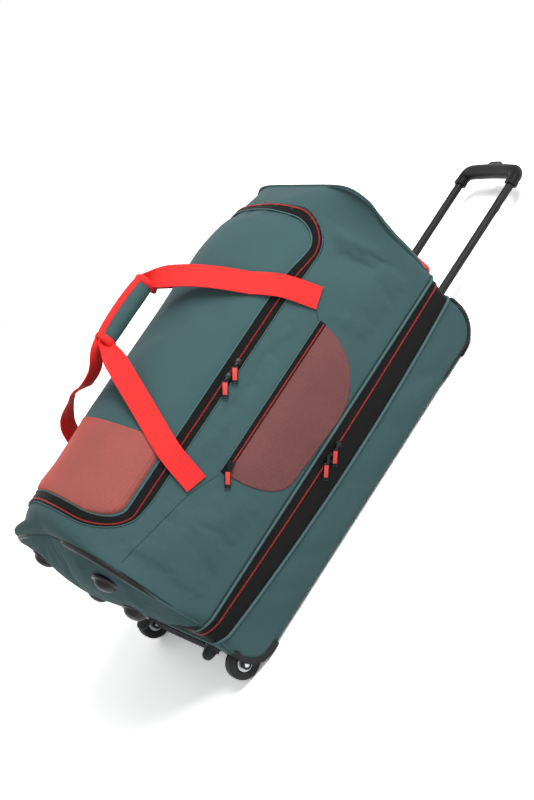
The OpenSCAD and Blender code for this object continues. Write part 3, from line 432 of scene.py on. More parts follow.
@dataclass(frozen=True)
class BagForm:
    """The bag's main surfaces, in millimetres from the axles and the ground."""

    length: float = 686.0
    half_width: float = 186.0
    deck_z: float = 130.0
    mid_rise: float = 271.0
    end_rise: float = 222.0
    handle_rise: float = 204.0
    nose: float = 45.0
    tail: float = 115.0
    far_tail: float = 163.0
    fall: float = 180.0
    mid_power: float = 2.0
    end_power: float = 2.7
    handle_power: float = 7.4
    handle_far_power: float = 5.9
    far_power: float = 4.0
    bulge: float = 10.0
    tip: float = 14.0
    knee: float = 0.45
    droop: float = 32.0
    droop_reach: float = 90.0
    far_reach: float = 15.0
    wheel_dome: float = 31.0
    handle_dome: float = 8.0
    arch_mid: float = 0.5
    base_x0: float = -2.0
    base_x1: float = 676.0
    floor_z: float = 3.0
    tub_corner: float = 60.0
    tub_edge: float = 14.0
    rim_high: float = 90.0
    rim_fall: float = 6.0
    rim_sag: float = 16.0
    zip_z: float = 108.6
    zip_rise: float = 6.0
    lid_x0: float = 38.0
    lid_x1: float = 630.0
    lid_half: float = 138.0
    lid_corner: float = 55.0
    lid_turn: float = 14.0
    # x over which the lid's zip turns askew, and distance from it past which the plan alone counts
    turn_reach: float = 150.0
    zip_reach: float = 80.0
    # height where the upright corners are roundest; least radius, more at that height, and reach of each end
    round_z: float = 118.0
    wheel_round: Triple = (6.0, 26.0, 52.0)
    handle_round: Triple = (5.0, 10.0, 40.0)
    # height and rise over which the handle end steps out from the tub to the deck
    step_z: float = 84.0
    step_rise: float = 46.0
    # x in from either end, and half width, of the box that the gusset faces away from
    core_in: Pair = (30.0, 16.0)
    core_half: float = 156.0
    # length of the pattern map round the bag
    girth: float = 2100.0

    @property
    def middle(self) -> float:
        """x of the bag's middle."""
        return self.length / 2

    def fullness(self, x: float) -> float:
        """Share of the arch's full rise at a distance from the axles."""
        t = clamp(min(x / self.nose, (self.length - x) / self.tail))
        return math.sqrt(1 - (1 - t) ** 2)

    def rise(self, x: float) -> float:
        """Height of the arch above the deck's lower seam, which is lower and squarer at the handle end."""
        if x < self.middle:
            return between(self.end_rise, self.mid_rise, self.fullness(x))
        full = math.sin(math.pi / 2 * clamp((self.length - x) / self.fall))
        return between(self.handle_rise, self.mid_rise, full)

    @staticmethod
    def slack(x: float, reach: float) -> float:
        """Share of its slackness that the unfilled far shoulder has at a distance from the wheel end."""
        return 1 - smooth(x / reach)

    def power(self, x: float, y: float) -> float:
        """Squareness of the arch, where 2 is an ellipse."""
        empty = 1 - self.fullness(x)
        p = between(self.mid_power, self.end_power, empty)
        if x > self.middle:
            if y > 0:
                t = clamp((self.length - x) / self.far_tail)
                return between(self.handle_far_power, self.mid_power, math.sqrt(1 - (1 - t) ** 2))
            return p + (self.handle_power - self.end_power) * empty**2
        return between(p, self.far_power, self.slack(x, self.far_reach)) if y > 0 else p

    def lean(self, x: float, y: float, z: float) -> float:
        """How far the ends lean towards +x at a height above the lower seam."""
        u = clamp(z / self.rise(x))
        past = max(u - self.knee, 0.0) / (1 - self.knee)
        swell = self.bulge * math.sin(math.pi / 2 * min(u / self.knee, 1.0)) + self.tip * past
        droop = self.droop * clamp(y / self.half_width) * u**2 * self.slack(x, self.droop_reach)
        return swell * clamp(x / self.length) ** 6 - droop

    def ring(self, x: float, angle: float, grow: float = 0.0) -> Pair:
        """Width and height on the arch at an angle from the far edge.

        Args:
            x: Distance from the axles.
            angle: Turn from the far edge over the top, in radians.
            grow: Distance outwards from the cloth.

        Returns:
            y, and z above the lower seam.
        """
        c, s = math.cos(angle), max(math.sin(angle), 0.0)
        p = self.power(x, c)
        reach = (abs(c) ** p + s**p) ** (-1 / p)
        return (self.half_width + grow) * c * reach, (self.rise(x) + grow) * s * reach

    def arch(self, x: float, angle: float, grow: float = 0.0) -> Vector:
        """Point on the upper deck's cloth at an angle from the far edge over the top."""
        y, z = self.ring(x, angle, grow)
        return self.soften(Vector((x + self.lean(x, y, z), y, self.deck_z + z)))

    def crest(self, x: float, y: float, grow: float = 0.0) -> Vector:
        """Point on the upper deck's cloth above a point of its plan."""
        p, half = self.power(x, y), self.half_width + grow
        z = (self.rise(x) + grow) * max(1 - (abs(y) / half) ** p, 0.0) ** (1 / p)
        return self.soften(Vector((x + self.lean(x, y, z), y, self.deck_z + z)))

    def side(self, x: float, z: float, grow: float = 0.0) -> Vector:
        """Point on the near side of the upper deck's cloth at a height above the ground."""
        p, rise = self.power(x, -1.0), self.rise(x) + grow
        y = (self.half_width + grow) * max(1 - (clamp((z - self.deck_z) / rise)) ** p, 0.0) ** (1 / p)
        return self.soften(Vector((x + self.lean(x, -y, z - self.deck_z), -y, z)))

    def panel(self, wheel_end: bool, u: float, v: float) -> Vector:
        """Point on a domed end panel, from a square that is laid into its arch.

        Args:
            wheel_end: True for the panel over the wheels.
            u: Share across the square.
            v: Share up the square.

        Returns:
            The point, in millimetres.
        """
        s, t = 2 * u - 1, 2 * v - 1
        a, b = s * math.sqrt(1 - t * t / 2), t * math.sqrt(1 - s * s / 2)
        return self.dome(wheel_end, math.atan2(b, a), math.hypot(a, b))

    def dome(self, wheel_end: bool, turn: float, share: float) -> Vector:
        """Point on an end panel at a turn about its middle and a share of the way to its seam."""
        x = 0.0 if wheel_end else self.length
        y, z = self.ring(x, turn) if turn >= 0 else (self.half_width * math.cos(turn), 0.0)
        mid = self.arch_mid * self.rise(x)
        y, z = y * share, between(mid, z, share)
        out = (-self.wheel_dome if wheel_end else self.handle_dome) * (1 - share * share) + self.lean(x, y, z)
        return self.soften(Vector((x + out, y, self.deck_z + z)))

    def panel_share(self, wheel_end: bool, y: float, z: float) -> float:
        """Share of the way from an end panel's middle to its seam, at a width and a height above the ground."""
        x = 0.0 if wheel_end else self.length
        rise, p = self.rise(x), self.power(x, y)
        mid = self.arch_mid * rise
        low, high = 0.0, 1.0
        for _ in range(20):
            share = (low + high) / 2
            up = mid + (z - self.deck_z - mid) / share
            inside = up >= 0 and (abs(y) / share / self.half_width) ** p + (up / rise) ** p <= 1
            low, high = (low, share) if inside else (share, high)
        return high

    def soften(self, point: Vector) -> Vector:
        """Rounds the upright corners of the bag in plan, most where the two decks meet.

        Args:
            point: A point on a square-cornered form.

        Returns:
            The point on the round-cornered one.
        """
        wheel_r, handle_r = (
            least + more * bump(point.z, self.round_z, reach)
            for least, more, reach in (self.wheel_round, self.handle_round)
        )
        point = self._round(point, point.x, wheel_r, 1.0, 0.0)
        end = self.handle_end(point.z)
        return self._round(point, end - point.x, handle_r, -1.0, end)

    def handle_end(self, z: float) -> float:
        """x of the handle end at a height, where the deck stands out over the tub."""
        return between(self.base_x1, self.length, clamp((z - self.step_z) / self.step_rise))

    def _round(self, point: Vector, depth: float, r: float, way: float, end: float) -> Vector:
        """Presses the square corner of an end into a quarter disc.

        Args:
            point: Point to move.
            depth: Its distance in from the end.
            r: Radius of the corner.
            way: Sign of x away from the end.
            end: x of the end.

        Returns:
            The moved point.
        """
        a, b = (r - depth) / r, (abs(point.y) - self.half_width + r) / r
        if a <= 0 or b <= 0:
            return point
        fit_a, fit_b = min(a, 1.2), min(b, 1.2)
        x = end + way * r * (1 - a * math.sqrt(max(1 - fit_b * fit_b / 2, 0)))
        y = self.half_width - r + r * b * math.sqrt(max(1 - fit_a * fit_a / 2, 0))
        return Vector((x, math.copysign(y, point.y), point.z))

    def lid_shift(self, x: float, y: float) -> float:
        """How far the lid's zip lies askew at the handle end, out on the near side and in on the far side."""
        across = clamp(-y / self.lid_half, -1.0)
        return self.lid_turn * across * smooth((x - self.lid_x1 + self.turn_reach) / self.turn_reach)

    def _lid_plan(self, x: float, y: float) -> float:
        """Distance outwards from the lid's zip line in plan, with a straight far edge."""
        x -= self.lid_shift(x, y)
        middle, half = (self.lid_x0 + self.lid_x1) / 2, (self.lid_x1 - self.lid_x0) / 2
        dx = abs(x - middle) - half
        if y > 0:
            return max(dx, y - self.lid_half)
        r = self.lid_corner
        a, b = dx + r, -y - self.lid_half + r
        return math.hypot(max(a, 0), max(b, 0)) + min(max(a, b), 0) - r

    def _stretch(self, x: float, y: float, way: Vector) -> float:
        """Distance on the cloth over distance in plan, along a direction of the plan."""
        step = way * 2.0
        rise = self.crest(x + step.x, y + step.y).z - self.crest(x - step.x, y - step.y).z
        return math.hypot(1.0, rise / 4.0)

    def lid_distance(self, x: float, y: float) -> float:
        """Distance outwards from the lid's zip line, measured on the cloth.

        Args:
            x: Distance from the axles.
            y: Distance from the middle plane.

        Returns:
            The distance, below 0 inside the lid.
        """
        far = self._lid_plan(x, y)
        along = self._lid_plan(x + 1, y) - self._lid_plan(x - 1, y)
        way = Vector((along, self._lid_plan(x, y + 1) - self._lid_plan(x, y - 1)))
        if way.length < 1e-6 or abs(far) > self.zip_reach:
            return far
        return far * self._stretch(x, y, way.normalized())

    def lid_line(self, share: float, out: float) -> Pair:
        """Point beside the lid's zip line, from its far wheel end round by the near side.

        Args:
            share: Share of the way along the line.
            out: Distance outwards from the line, measured on the cloth.

        Returns:
            x and y.
        """
        r, low = self.lid_corner, self.lid_half
        side = 2 * low - r - 0.5
        front = self.lid_x1 - self.lid_x0 - 2 * r
        arc = math.pi * r / 2
        s = share * self.lid_line_length
        if s < side:
            spot, way = Vector((self.lid_x0, low - 0.5 - s)), Vector((-1.0, 0.0))
        elif s < side + arc:
            turn = (s - side) / r
            way = Vector((-math.cos(turn), -math.sin(turn)))
            spot = Vector((self.lid_x0 + r, r - low)) + way * r
        elif s < side + arc + front:
            spot, way = Vector((self.lid_x0 + r + s - side - arc, -low)), Vector((0.0, -1.0))
        elif s < side + 2 * arc + front:
            turn = (s - side - arc - front) / r
            way = Vector((math.sin(turn), -math.cos(turn)))
            spot = Vector((self.lid_x1 - r, r - low)) + way * r
        else:
            spot, way = Vector((self.lid_x1, r - low + s - side - 2 * arc - front)), Vector((1.0, 0.0))
        spot.x += self.lid_shift(spot.x, spot.y)
        spot += way * (out / self._stretch(spot.x, spot.y, way))
        return spot.x, spot.y

    @property
    def lid_line_length(self) -> float:
        """Length of the lid's zip line."""
        r = self.lid_corner
        return 2 * (2 * self.lid_half - r - 0.5) + self.lid_x1 - self.lid_x0 - 2 * r + math.pi * r

    def plan(self, share: float, x0: float, x1: float, half: float) -> Pair:
        """Point on a square plan, from the far wheel corner over the wheel end and the near side, and round.

        Args:
            share: Share of the way round.
            x0: Wheel end of the plan.
            x1: Handle end of the plan.
            half: Half width.

        Returns:
            x and y.
        """
        wide, long = 2 * half, x1 - x0
        s = (share % 1.0) * 2 * (wide + long)
        if s < wide:
            return x0, half - s
        s -= wide
        if s < long:
            return x0 + s, -half
        s -= long
        if s < wide:
            return x1, -half + s
        return x1 - (s - wide), half

    def around(self, share: float, z: float, out: float = 0.0) -> Vector:
        """Point on the zip gusset's upright wall at a height."""
        x, y = self.plan(share, self.base_x0, self.handle_end(z), self.half_width)
        soft = self.soften(Vector((x, y, z)))
        return soft + level_out(soft).normalized() * out

    def tub_x(self, share: float) -> float:
        """x of a point on the tub's plan at a share of the way round."""
        return self.plan(share, self.base_x0, self.base_x1, self.half_width)[0]

    def inset(self, z: float, r: float) -> float:
        """How far the tub's rounded lower edge draws its wall in at a height."""
        drop = clamp(self.floor_z + r - z, 0, r)
        return r - math.sqrt(r**2 - drop**2)

    def rim(self, x: float) -> float:
        """Height of the tub's rim, which sags between the bag's ends."""
        t = clamp(x / self.base_x1)
        return self.rim_high - self.rim_fall * t - self.rim_sag * math.sin(math.pi * t) ** 0.8

    def zip_height(self, x: float) -> float:
        """Height of the deck zip's teeth, a little higher at the ends."""
        return self.zip_z + self.zip_rise * (1 - math.sin(math.pi * clamp(x / self.base_x1)))


FORM = BagForm()
CORE = Vector((FORM.middle, 0.0, 190.0))


def sheet(cells: tuple[int, int], size: Pair, shape: Callable[[float, float], Vector]) -> BMesh:
    """Lays a grid out flat with its pattern map, then bends it to a form.

    Args:
        cells: Cells along and across.
        size: Flat size in millimetres, which the pattern map keeps.
        shape: Gives the place, in millimetres, of a share along and across.

    Returns:
        The bent sheet.
    """
    bm = bmesh.new()
    flat = bm.loops.layers.uv.new("cloth")
    bmesh.ops.create_grid(bm, x_segments=cells[0], y_segments=cells[1], size=0.5)
    for face in bm.faces:
        for loop in face.loops:
            co = loop.vert.co
            loop[flat].uv = ((co.x + 0.5) * size[0] * MM, (co.y + 0.5) * size[1] * MM)
    for vert in bm.verts:
        vert.co = place(shape(vert.co.x + 0.5, vert.co.y + 0.5))
    return bm


def close_seams(bm: BMesh) -> BMesh:
    """Joins edges that meet, closes the ends of a tube and turns its faces outwards."""
    bmesh.ops.remove_doubles(bm, verts=bm.verts, dist=WELD)
    open_edges = [edge for edge in bm.edges if edge.is_boundary]
    if open_edges:
        bmesh.ops.holes_fill(bm, edges=open_edges, sides=0)
    bmesh.ops.recalc_face_normals(bm, faces=bm.faces)
    return bm


def face_out(bm: BMesh, core: Vector = CORE) -> BMesh:
    """Turns an open sheet so that its outer side looks away from a point inside the bag."""
    bm.normal_update()
    middle = place(core)
    if sum(f.normal.dot(f.calc_center_median() - middle) * f.calc_area() for f in bm.faces) < 0:
        bmesh.ops.reverse_faces(bm, faces=bm.faces)
    return bm


def thicken(bm: BMesh, wall: float) -> BMesh:
    """Gives an open sheet a thickness, in millimetres."""
    bmesh.ops.solidify(bm, geom=bm.faces[:], thickness=wall * MM)
    return bm


def trim(bm: BMesh, keep: Callable[[Vector], float], back: Callable[[Vector], Vector], reach: float) -> None:
    """Cuts a sheet along a line and lays its cut edge on that line.

    Args:
        bm: Sheet to cut.
        keep: Distance from the line of a point in millimetres, above 0 on the side that stays.
        back: Puts a moved point back on the form.
        reach: How far from the line an edge point may lie to be moved to it.
    """
    spot = {v: unplace(v.co) for v in bm.verts}
    far = {v: keep(p) for v, p in spot.items()}
    gone = [f for f in bm.faces if sum(far[v] for v in f.verts) < 0]
    bmesh.ops.delete(bm, geom=gone, context="FACES")
    step = 0.5
    for v in [v for v in bm.verts if v.is_boundary and abs(far[v]) < reach]:
        p = spot[v]
        slope = Vector(
            (keep(p + Vector(d)) - keep(p - Vector(d))) / (2 * step)
            for d in ((step, 0, 0), (0, step, 0), (0, 0, step))
        )
        if slope.length > 1e-6:
            v.co = place(back(p - slope * (far[v] / slope.length_squared)))


def tube(
    path: Sequence[Vector], radius: float, up: Vector, closed: bool = False, wide: float = 1.0, around: int = 10,
    taper: float = 0.0,
) -> BMesh:
    """Sweeps a round or oval section along a path.

    Args:
        path: Points in millimetres.
        radius: Half of the section's thickness.
        up: Direction that the section's thickness follows.
        closed: True where the path meets its start.
        wide: Width of the section over its thickness.
        around: Sides of the section.
        taper: Share of the path over which each end narrows.

    Returns:
        The closed tube.
    """
    count = len(path)
    cells = count if closed else count - 1
    frames = []
    for i in range(count):
        ahead = path[(i + 1) % count] if closed else path[min(i + 1, count - 1)]
        behind = path[i - 1] if closed else path[max(i - 1, 0)]
        run = (ahead - behind).normalized()
        across = up.cross(run).normalized()
        frames.append((across, run.cross(across)))
    length = sum((path[(i + 1) % count] - path[i]).length for i in range(cells))

    def shape(u: float, v: float) -> Vector:
        """Point on the section at a share of the path."""
        i = round(u * cells) % count if closed else round(u * cells)
        across, thick = frames[i]
        turn = 2 * math.pi * round(v * around) / around
        r = radius * (max(smooth(min(u, 1 - u) / taper), 0.12) if taper else 1.0)
        return path[i] + across * (r * wide * math.cos(turn)) + thick * (r * math.sin(turn))

    return close_seams(sheet((cells, around), (length, 2 * math.pi * radius), shape))


def turned(profile: Sequence[Pair], seat: Vector, axis: Vector) -> BMesh:
    """Turns a profile about an axis, as on a lathe.

    Args:
        profile: Radius and height of each point, from the seat to the tip.
        seat: Place of the profile's foot, in millimetres.
        axis: Direction from the seat to the tip.

    Returns:
        The turned form.
    """
    bm = bmesh.new()
    out = axis.orthogonal().normalized()
    last = None
    for r, h in profile:
        vert = bm.verts.new(place(seat + axis * h + out * r))
        if last is not None:
            bm.edges.new((last, vert))
        last = vert
    geom = bm.verts[:] + bm.edges[:]
    bmesh.ops.spin(bm, geom=geom, cent=place(seat), axis=axis, angle=2 * math.pi, steps=56, use_merge=True)
    bmesh.ops.remove_doubles(bm, verts=bm.verts, dist=WELD)
    bmesh.ops.recalc_face_normals(bm, faces=bm.faces)
    return bm


def beads(places: Iterable[Matrix], size: Triple) -> BMesh:
    """Sets one small block at each of many places, for teeth and stitches.

    Args:
        places: Matrices in millimetres, whose x runs along the seam and z out of the cloth.
        size: Length, width and height of a block.

    Returns:
        The blocks.
    """
    bm = bmesh.new()
    for spot in places:
        bmesh.ops.create_cube(bm, size=1.0, matrix=TO_FRAME @ spot @ Matrix.Diagonal((*size, 1.0)))
    return bm


def seam_places(
    path: Sequence[Vector], normal: Callable[[Vector], Vector], pitch: float, lift: float
) -> list[Matrix]:
    """Places evenly spaced along a path.

    Args:
        path: Points in millimetres.
        normal: Gives the direction out of the cloth.
        pitch: Distance between two places.
        lift: Distance out of the cloth.

    Returns:
        One matrix per place.
    """
    places: list[Matrix] = []
    due = pitch / 2
    for a, b in zip(path, path[1:]):
        run = b - a
        length = run.length
        while due <= length and length > 1e-9:
            p = a + run * (due / length)
            along, out = run.normalized(), normal(p).normalized()
            across = out.cross(along).normalized()
            out = along.cross(across)
            turn = Matrix((along, across, out)).transposed().to_4x4()
            places.append(Matrix.Translation(p + out * lift) @ turn)
            due += pitch
        due -= length
    return places


def outwards(point: Vector) -> Vector:
    """Direction out of the upper deck's cloth, near enough for trim that lies on it."""
    rise, half = FORM.mid_rise, FORM.half_width
    return Vector((0.0, point.y / half**2, max(point.z - FORM.deck_z, 1.0) / rise**2))


def level_out(point: Vector) -> Vector:
    """Direction out of an upright wall of the bag."""
    first, last = FORM.core_in
    x = clamp(point.x, first, FORM.base_x1 - last)
    return point - Vector((x, clamp(point.y, -FORM.core_half, FORM.core_half), point.z))


@dataclass(frozen=True)
class Slack:
    """Cloth simulation of a panel that is held at its seams and lies loose between them."""

    free: Callable[[Vector], float]
    ease: float = 0.012
    pressure: float = 4.0
    cap: float = 7.0
    frames: int = 20
    quality: int = 6
    mass: float = 0.25
    stiffness: float = 12.0
    bending: float = 0.4
    damping: float = 2.0

    def settle(self, piece: Object) -> None:
        """Lets a panel swell and buckle, and keeps the result in its mesh.

        Args:
            piece: Panel in the frame's metres, which is changed.
        """
        scene = bpy.context.scene
        points = piece.data.vertices
        held = piece.vertex_groups.new(name="held")
        loose = [clamp(self.free(unplace(v.co))) for v in points]
        for v, share in zip(points, loose):
            held.add([v.index], 1 - share, "REPLACE")
        cloth = piece.modifiers.new("cloth", "CLOTH")
        settings = cloth.settings
        settings.quality, settings.mass = self.quality, self.mass
        settings.tension_stiffness = settings.compression_stiffness = settings.shear_stiffness = self.stiffness
        settings.bending_stiffness, settings.air_damping = self.bending, self.damping
        settings.vertex_group_mass, settings.pin_stiffness = held.name, 1.0
        settings.use_pressure, settings.uniform_pressure_force = True, self.pressure
        settings.shrink_min = settings.shrink_max = -self.ease
        settings.effector_weights.gravity = 0.0
        cloth.point_cache.frame_start, cloth.point_cache.frame_end = 1, self.frames
        for step in range(1, self.frames + 1):
            scene.frame_set(step)
        swollen = piece.evaluated_get(bpy.context.evaluated_depsgraph_get()).data.vertices
        moves = [after.co - before.co for before, after in zip(points, swollen)]
        for v, move, share in zip(points, moves, loose):
            most = self.cap * MM * share
            v.co += move * min(1.0, most / max(move.length, 1e-9))
        piece.modifiers.remove(cloth)
        piece.vertex_groups.remove(held)
        scene.frame_set(1)


def settle(
    bm: BMesh,
    name: str,
    finish: Finish,
    body: Body | str | None,
    replaces: Sequence[str] = (),
    wall: float = 0.0,
    inner: Finish | None = None,
    levels: int = 0,
    sharp: float | None = None,
    slack: Slack | None = None,
) -> Object:
    """Makes a finished mesh a piece of the bag.

    Args:
        bm: Mesh in the frame's metres.
        name: Name of the piece.
        finish: Its finish.
        body: Body that it rides on, or None for a strip that two bodies share.
        replaces: Nodes of the frame that it stands for.
        wall: Thickness that grows inwards, in millimetres.
        inner: Finish of the inner side.
        levels: Rounds of subdivision.
        sharp: Angle in degrees past which edges stay sharp.
        slack: How the cloth settles between its seams.

    Returns:
        The piece.
    """
    mesh = bpy.data.meshes.new(name)
    bm.to_mesh(mesh)
    bm.free()
    mesh.materials.append(finish.material())
    mesh.shade_smooth()
    if sharp is not None:
        mesh.set_sharp_from_angle(angle=math.radians(sharp))
    piece = bpy.data.objects.new(name, mesh)
    bpy.context.scene.collection.objects.link(piece)
    if slack:
        slack.settle(piece)
    if wall:
        thick = piece.modifiers.new("wall", "SOLIDIFY")
        thick.thickness, thick.offset = wall * MM, -1.0
        if inner:
            mesh.materials.append(inner.material())
            thick.material_offset = 1
    if levels:
        soft = piece.modifiers.new("soft", "SUBSURF")
        soft.levels = soft.render_levels = levels
    if body is not None:
        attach(piece, body.value if isinstance(body, Body) else body)
    if replaces:
        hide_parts(*replaces)
    LOG.info("%s: %d faces", name, len(mesh.polygons))
    return piece


def relief(point: Vector, size: float, depth: float, seed: float) -> float:
    """Slow rise and fall of cloth between its seams, from a fold's breadth and depth and a shift of the pattern."""
    return depth * noise.noise(point / size + Vector((seed, seed * 2, seed * 3)))


@dataclass
class UpperDeck:
    """Upper deck: cloth round its arch, two domed end panels, piping and trim."""

    cells: tuple[int, int] = (150, 170)
    panel_cells: int = 56
    under_tape: float = 3.0
    wall: float = 3.4
    piping_r: float = 1.9
    girth: float = 790.0
    # height over the lower seam from which the lid's mouth counts
    mouth_up: float = 100.0
    feet_yz: dict[Side, tuple[Pair, ...]] = field(
        default_factory=lambda: {
            Side.NEAR: ((101.0, 273.0), (75.0, 190.0)),
            Side.FAR: ((106.0, 290.0), (75.0, 190.0)),
        }
    )
    far_sink: float = 4.0
    foot_tilt: Pair = (0.15, -0.1)
    # radius and height of a dome foot, from its hidden back over its flange to its tip
    foot_profile: tuple[Pair, ...] = (
        (0.0, -6.0), (25.0, -6.0), (25.0, 0.8), (24.2, 1.8), (22.4, 2.2), (19.2, 2.6), (18.2, 5.4), (16.0, 8.6),
        (12.8, 11.2), (8.4, 12.9), (4.2, 13.6), (0.0, 13.6),
    )
    # x and z of the stitched side seam, in two runs beside the pocket
    seam_xz: tuple[tuple[Pair, ...], ...] = (
        ((214.0, 247.0), (160.0, 268.0), (60.0, 286.0), (16.0, 294.0)),
        ((503.0, 247.0), (520.0, 264.0)),
    )

    def build(self) -> None:
        """Builds the deck's pieces in order."""
        cloth = self._wrap()
        self._panels()
        self._piping()
        self._side_seam(cloth)
        self._divider()
        self._guards()
        self._feet()

    @staticmethod
    def _fold(p: Vector) -> float:
        """Height of the soft folds that the filled deck keeps, in millimetres."""
        slant = p.x + 0.25 * (p.z - 300)
        tail = 4.4 * bump(slant, 640, 13) * smooth((p.z - 190) / 60)
        tail -= 4.0 * bump(slant, 607, 15) * smooth((p.z - 200) / 60)
        corner = -6.0 * bump(p.x - 0.7 * (p.z - 150), 60, 22) * bump(p.z, 190, 45) if p.y < 0 else 0.0
        return tail + corner + relief(p, 120, 3.4, 1.0) + relief(p, 46, 0.7, 4.0)

    def _wrap(self) -> Object:
        """Cloth over the arch, cut away under the lid.

        Returns:
            The cloth, whose mesh is its outer side.
        """
        length, mouth_z = FORM.length, FORM.deck_z + self.mouth_up

        def free(p: Vector) -> float:
            """Share of its movement that the cloth has away from seams, straps, pocket and zip."""
            ends = smooth(min(p.x, length - p.x) / 50) * smooth((p.z - FORM.deck_z) / 50)
            zip_line = smooth((abs(FORM.lid_distance(p.x, p.y)) - 12) / 26) if p.z > mouth_z else 1.0
            corner = 1 - 0.9 * smooth(p.y / 60) * (1 - smooth((p.x - 40) / 80))
            return ends * corner * zip_line * (1 - SidePocket.cover(p)) * (1 - CarryStraps.cover(p))

        def shape(u: float, v: float) -> Vector:
            """Point on the arch with its soft folds."""
            x = length * (0.5 * u + 0.25 * (1 - math.cos(math.pi * u)))
            p = FORM.arch(x, math.pi * v)
            return FORM.arch(x, math.pi * v, free(p) * self._fold(p))

        bm = sheet(self.cells, (length, self.girth), shape)

        def keep(p: Vector) -> float:
            """Distance outside the lid's mouth."""
            if p.z < mouth_z:
                return 50.0
            far = FORM.lid_distance(p.x, p.y) - self.under_tape
            return max(far, p.y - FORM.lid_half - 0.6) if p.y > 0 else far

        trim(bm, keep, lambda p: FORM.crest(p.x, p.y), 12.0)
        face_out(bm)
        slack = Slack(free)
        piece = settle(bm, "deck_cloth", TEAL_POLYESTER, Body.DECK, ("upper_shell",), self.wall, LINING, slack=slack)
        return piece

    def _panels(self) -> None:
        """Domed end panels."""
        for name, wheel_end in (("wheel_end_panel", True), ("handle_end_panel", False)):

            def shape(u: float, v: float) -> Vector:
                """Point on the panel with its soft folds."""
                p = FORM.panel(wheel_end, u, v)
                hold = 1 - max(abs(2 * u - 1), abs(2 * v - 1)) ** 4
                return p + Vector((hold * relief(p, 90, 2.5, 7.0), 0, 0))

            def free(p: Vector) -> float:
                """Share of its movement that the panel has away from its seams and feet."""
                side = Side.FAR if p.y > 0 else Side.NEAR
                feet = min(math.hypot(abs(p.y) - y, p.z - z) for y, z in self.feet_yz[side])
                room = smooth((feet - 22) / 24) if wheel_end else 1.0
                return smooth((1 - FORM.panel_share(wheel_end, p.y, p.z)) * 4) * room

            size = 2 * FORM.half_width, FORM.end_rise
            bm = face_out(sheet((self.panel_cells, self.panel_cells), size, shape))
            slack = Slack(free, cap=5.0)
            piece = settle(bm, name, TEAL_POLYESTER, Body.DECK, (), self.wall, LINING, slack=slack)

    def _piping(self) -> None:
        """Piping over both end seams and round the lower seam, each with its row of sewing, drawn as an unbroken
        dark line that is partly sewing and partly painted shade in the seam's groove.
        """
        steps = 150
        for name, x, out in (("wheel_end", 0.0, -1.0), ("handle_end", FORM.length, 1.0)):
            arc, seam = (
                [FORM.arch(x, math.pi * i / steps, 0.4) + Vector((shift, 0, 0)) for i in range(steps + 1)]
                for shift in (0.4 * out, -4.2 * out)
            )
            bm = tube(arc, self.piping_r, Vector((1, 0, 0)))
            settle(bm, f"{name}_piping", TEAL_POLYESTER, Body.DECK, ("deck_piping",))
            settle(tube(seam, 0.7, Vector((1, 0, 0)), around=6), f"{name}_sewing", TEAL_THREAD_AND_SHADE, Body.DECK)
        count = 520
        # The lower seam's piping is painted lighter teal, as a painted highlight on its crown.
        for name, z, out, r, finish in (
            ("lower_seam_piping", FORM.deck_z - 2.4, 0.9, self.piping_r + 0.3, TEAL_PIPING_PAINTED_HIGHLIGHT),
            ("lower_seam_sewing", FORM.deck_z + 2.2, -0.1, 0.8, TEAL_THREAD_AND_SHADE),
        ):
            loop = [FORM.around(i / count, z, out) for i in range(count)]
            settle(tube(loop, r, Vector((0, 0, 1)), closed=True), name, finish, Body.DECK)

    def _side_seam(self, cloth: Object) -> None:
        """Stitched panel seam by way of the pocket's ends to the wheel end, on both sides.

        Args:
            cloth: The deck's cloth, which the stitches lie on.
        """
        bm = bmesh.new()
        bm.from_mesh(cloth.data)
        skin = BVHTree.FromBMesh(bm)
        bm.free()
        for side in Side:
            spots: list[Matrix] = []
            for marks in self.seam_xz:
                line: list[Vector] = []
                for (x0, z0), (x1, z1) in zip(marks, marks[1:]):
                    for i in range(25):
                        p = FORM.side(x0 + (x1 - x0) * i / 24, z0 + (z1 - z0) * i / 24)
                        spot = skin.find_nearest(place(Vector((p.x, -p.y * side.value, p.z))))[0]
                        line.append(unplace(spot))
                spots += seam_places(line, outwards, 4.4, 0.3)
            # The stitches' thread is painted darker, as painted shade in their holes.
            settle(beads(spots, (3.0, 0.9, 0.7)), f"{side.label}_side_stitches", TEAL_THREAD_AND_SHADE, Body.DECK)

    def _divider(self) -> None:
        """Cloth floor between the two decks, slack in its middle."""
        x0, x1, half, z = 6.0, 680.0, 179.0, 131.6

        def shape(u: float, v: float) -> Vector:
            """Point on the slack floor."""
            p = Vector((between(x0, x1, u), half * (2 * v - 1), z))
            p.z += 1.2 * noise.noise(p / 80) * math.sin(math.pi * u) * math.sin(math.pi * v)
            return p

        bm = sheet((60, 34), (x1 - x0, 2 * half), shape)
        piece = settle(bm, "divider_cloth", LINING, Body.DECK, ("divider_panel",), 1.2)

    def _guards(self) -> None:
        """Hard strips over the seam along the shoulders of the wheel-end panel."""
        steps = 72
        for side, span, r, shift in ((Side.NEAR, (60.0, 178.0), 3.2, -1.4), (Side.FAR, (104.0, 184.0), 2.6, 1.2)):
            path = []
            power = FORM.power(0.0, side.value)
            for i in range(steps + 1):
                y = span[0] + (span[1] - span[0]) * i / steps
                turn = math.acos((y / FORM.half_width) ** (power / 2))
                p = FORM.arch(0.0, turn if side is Side.FAR else math.pi - turn, 1.0)
                path.append(p + Vector((shift, 0, 0)))
            bm = tube(path, r, Vector((-0.8, 0.2 * side.value, 0.6)), wide=1.9, around=16, taper=0.14)
            settle(bm, f"{side.label}_shoulder_guard", GLOSS_ABS, Body.DECK, ("shoulder_guards",))

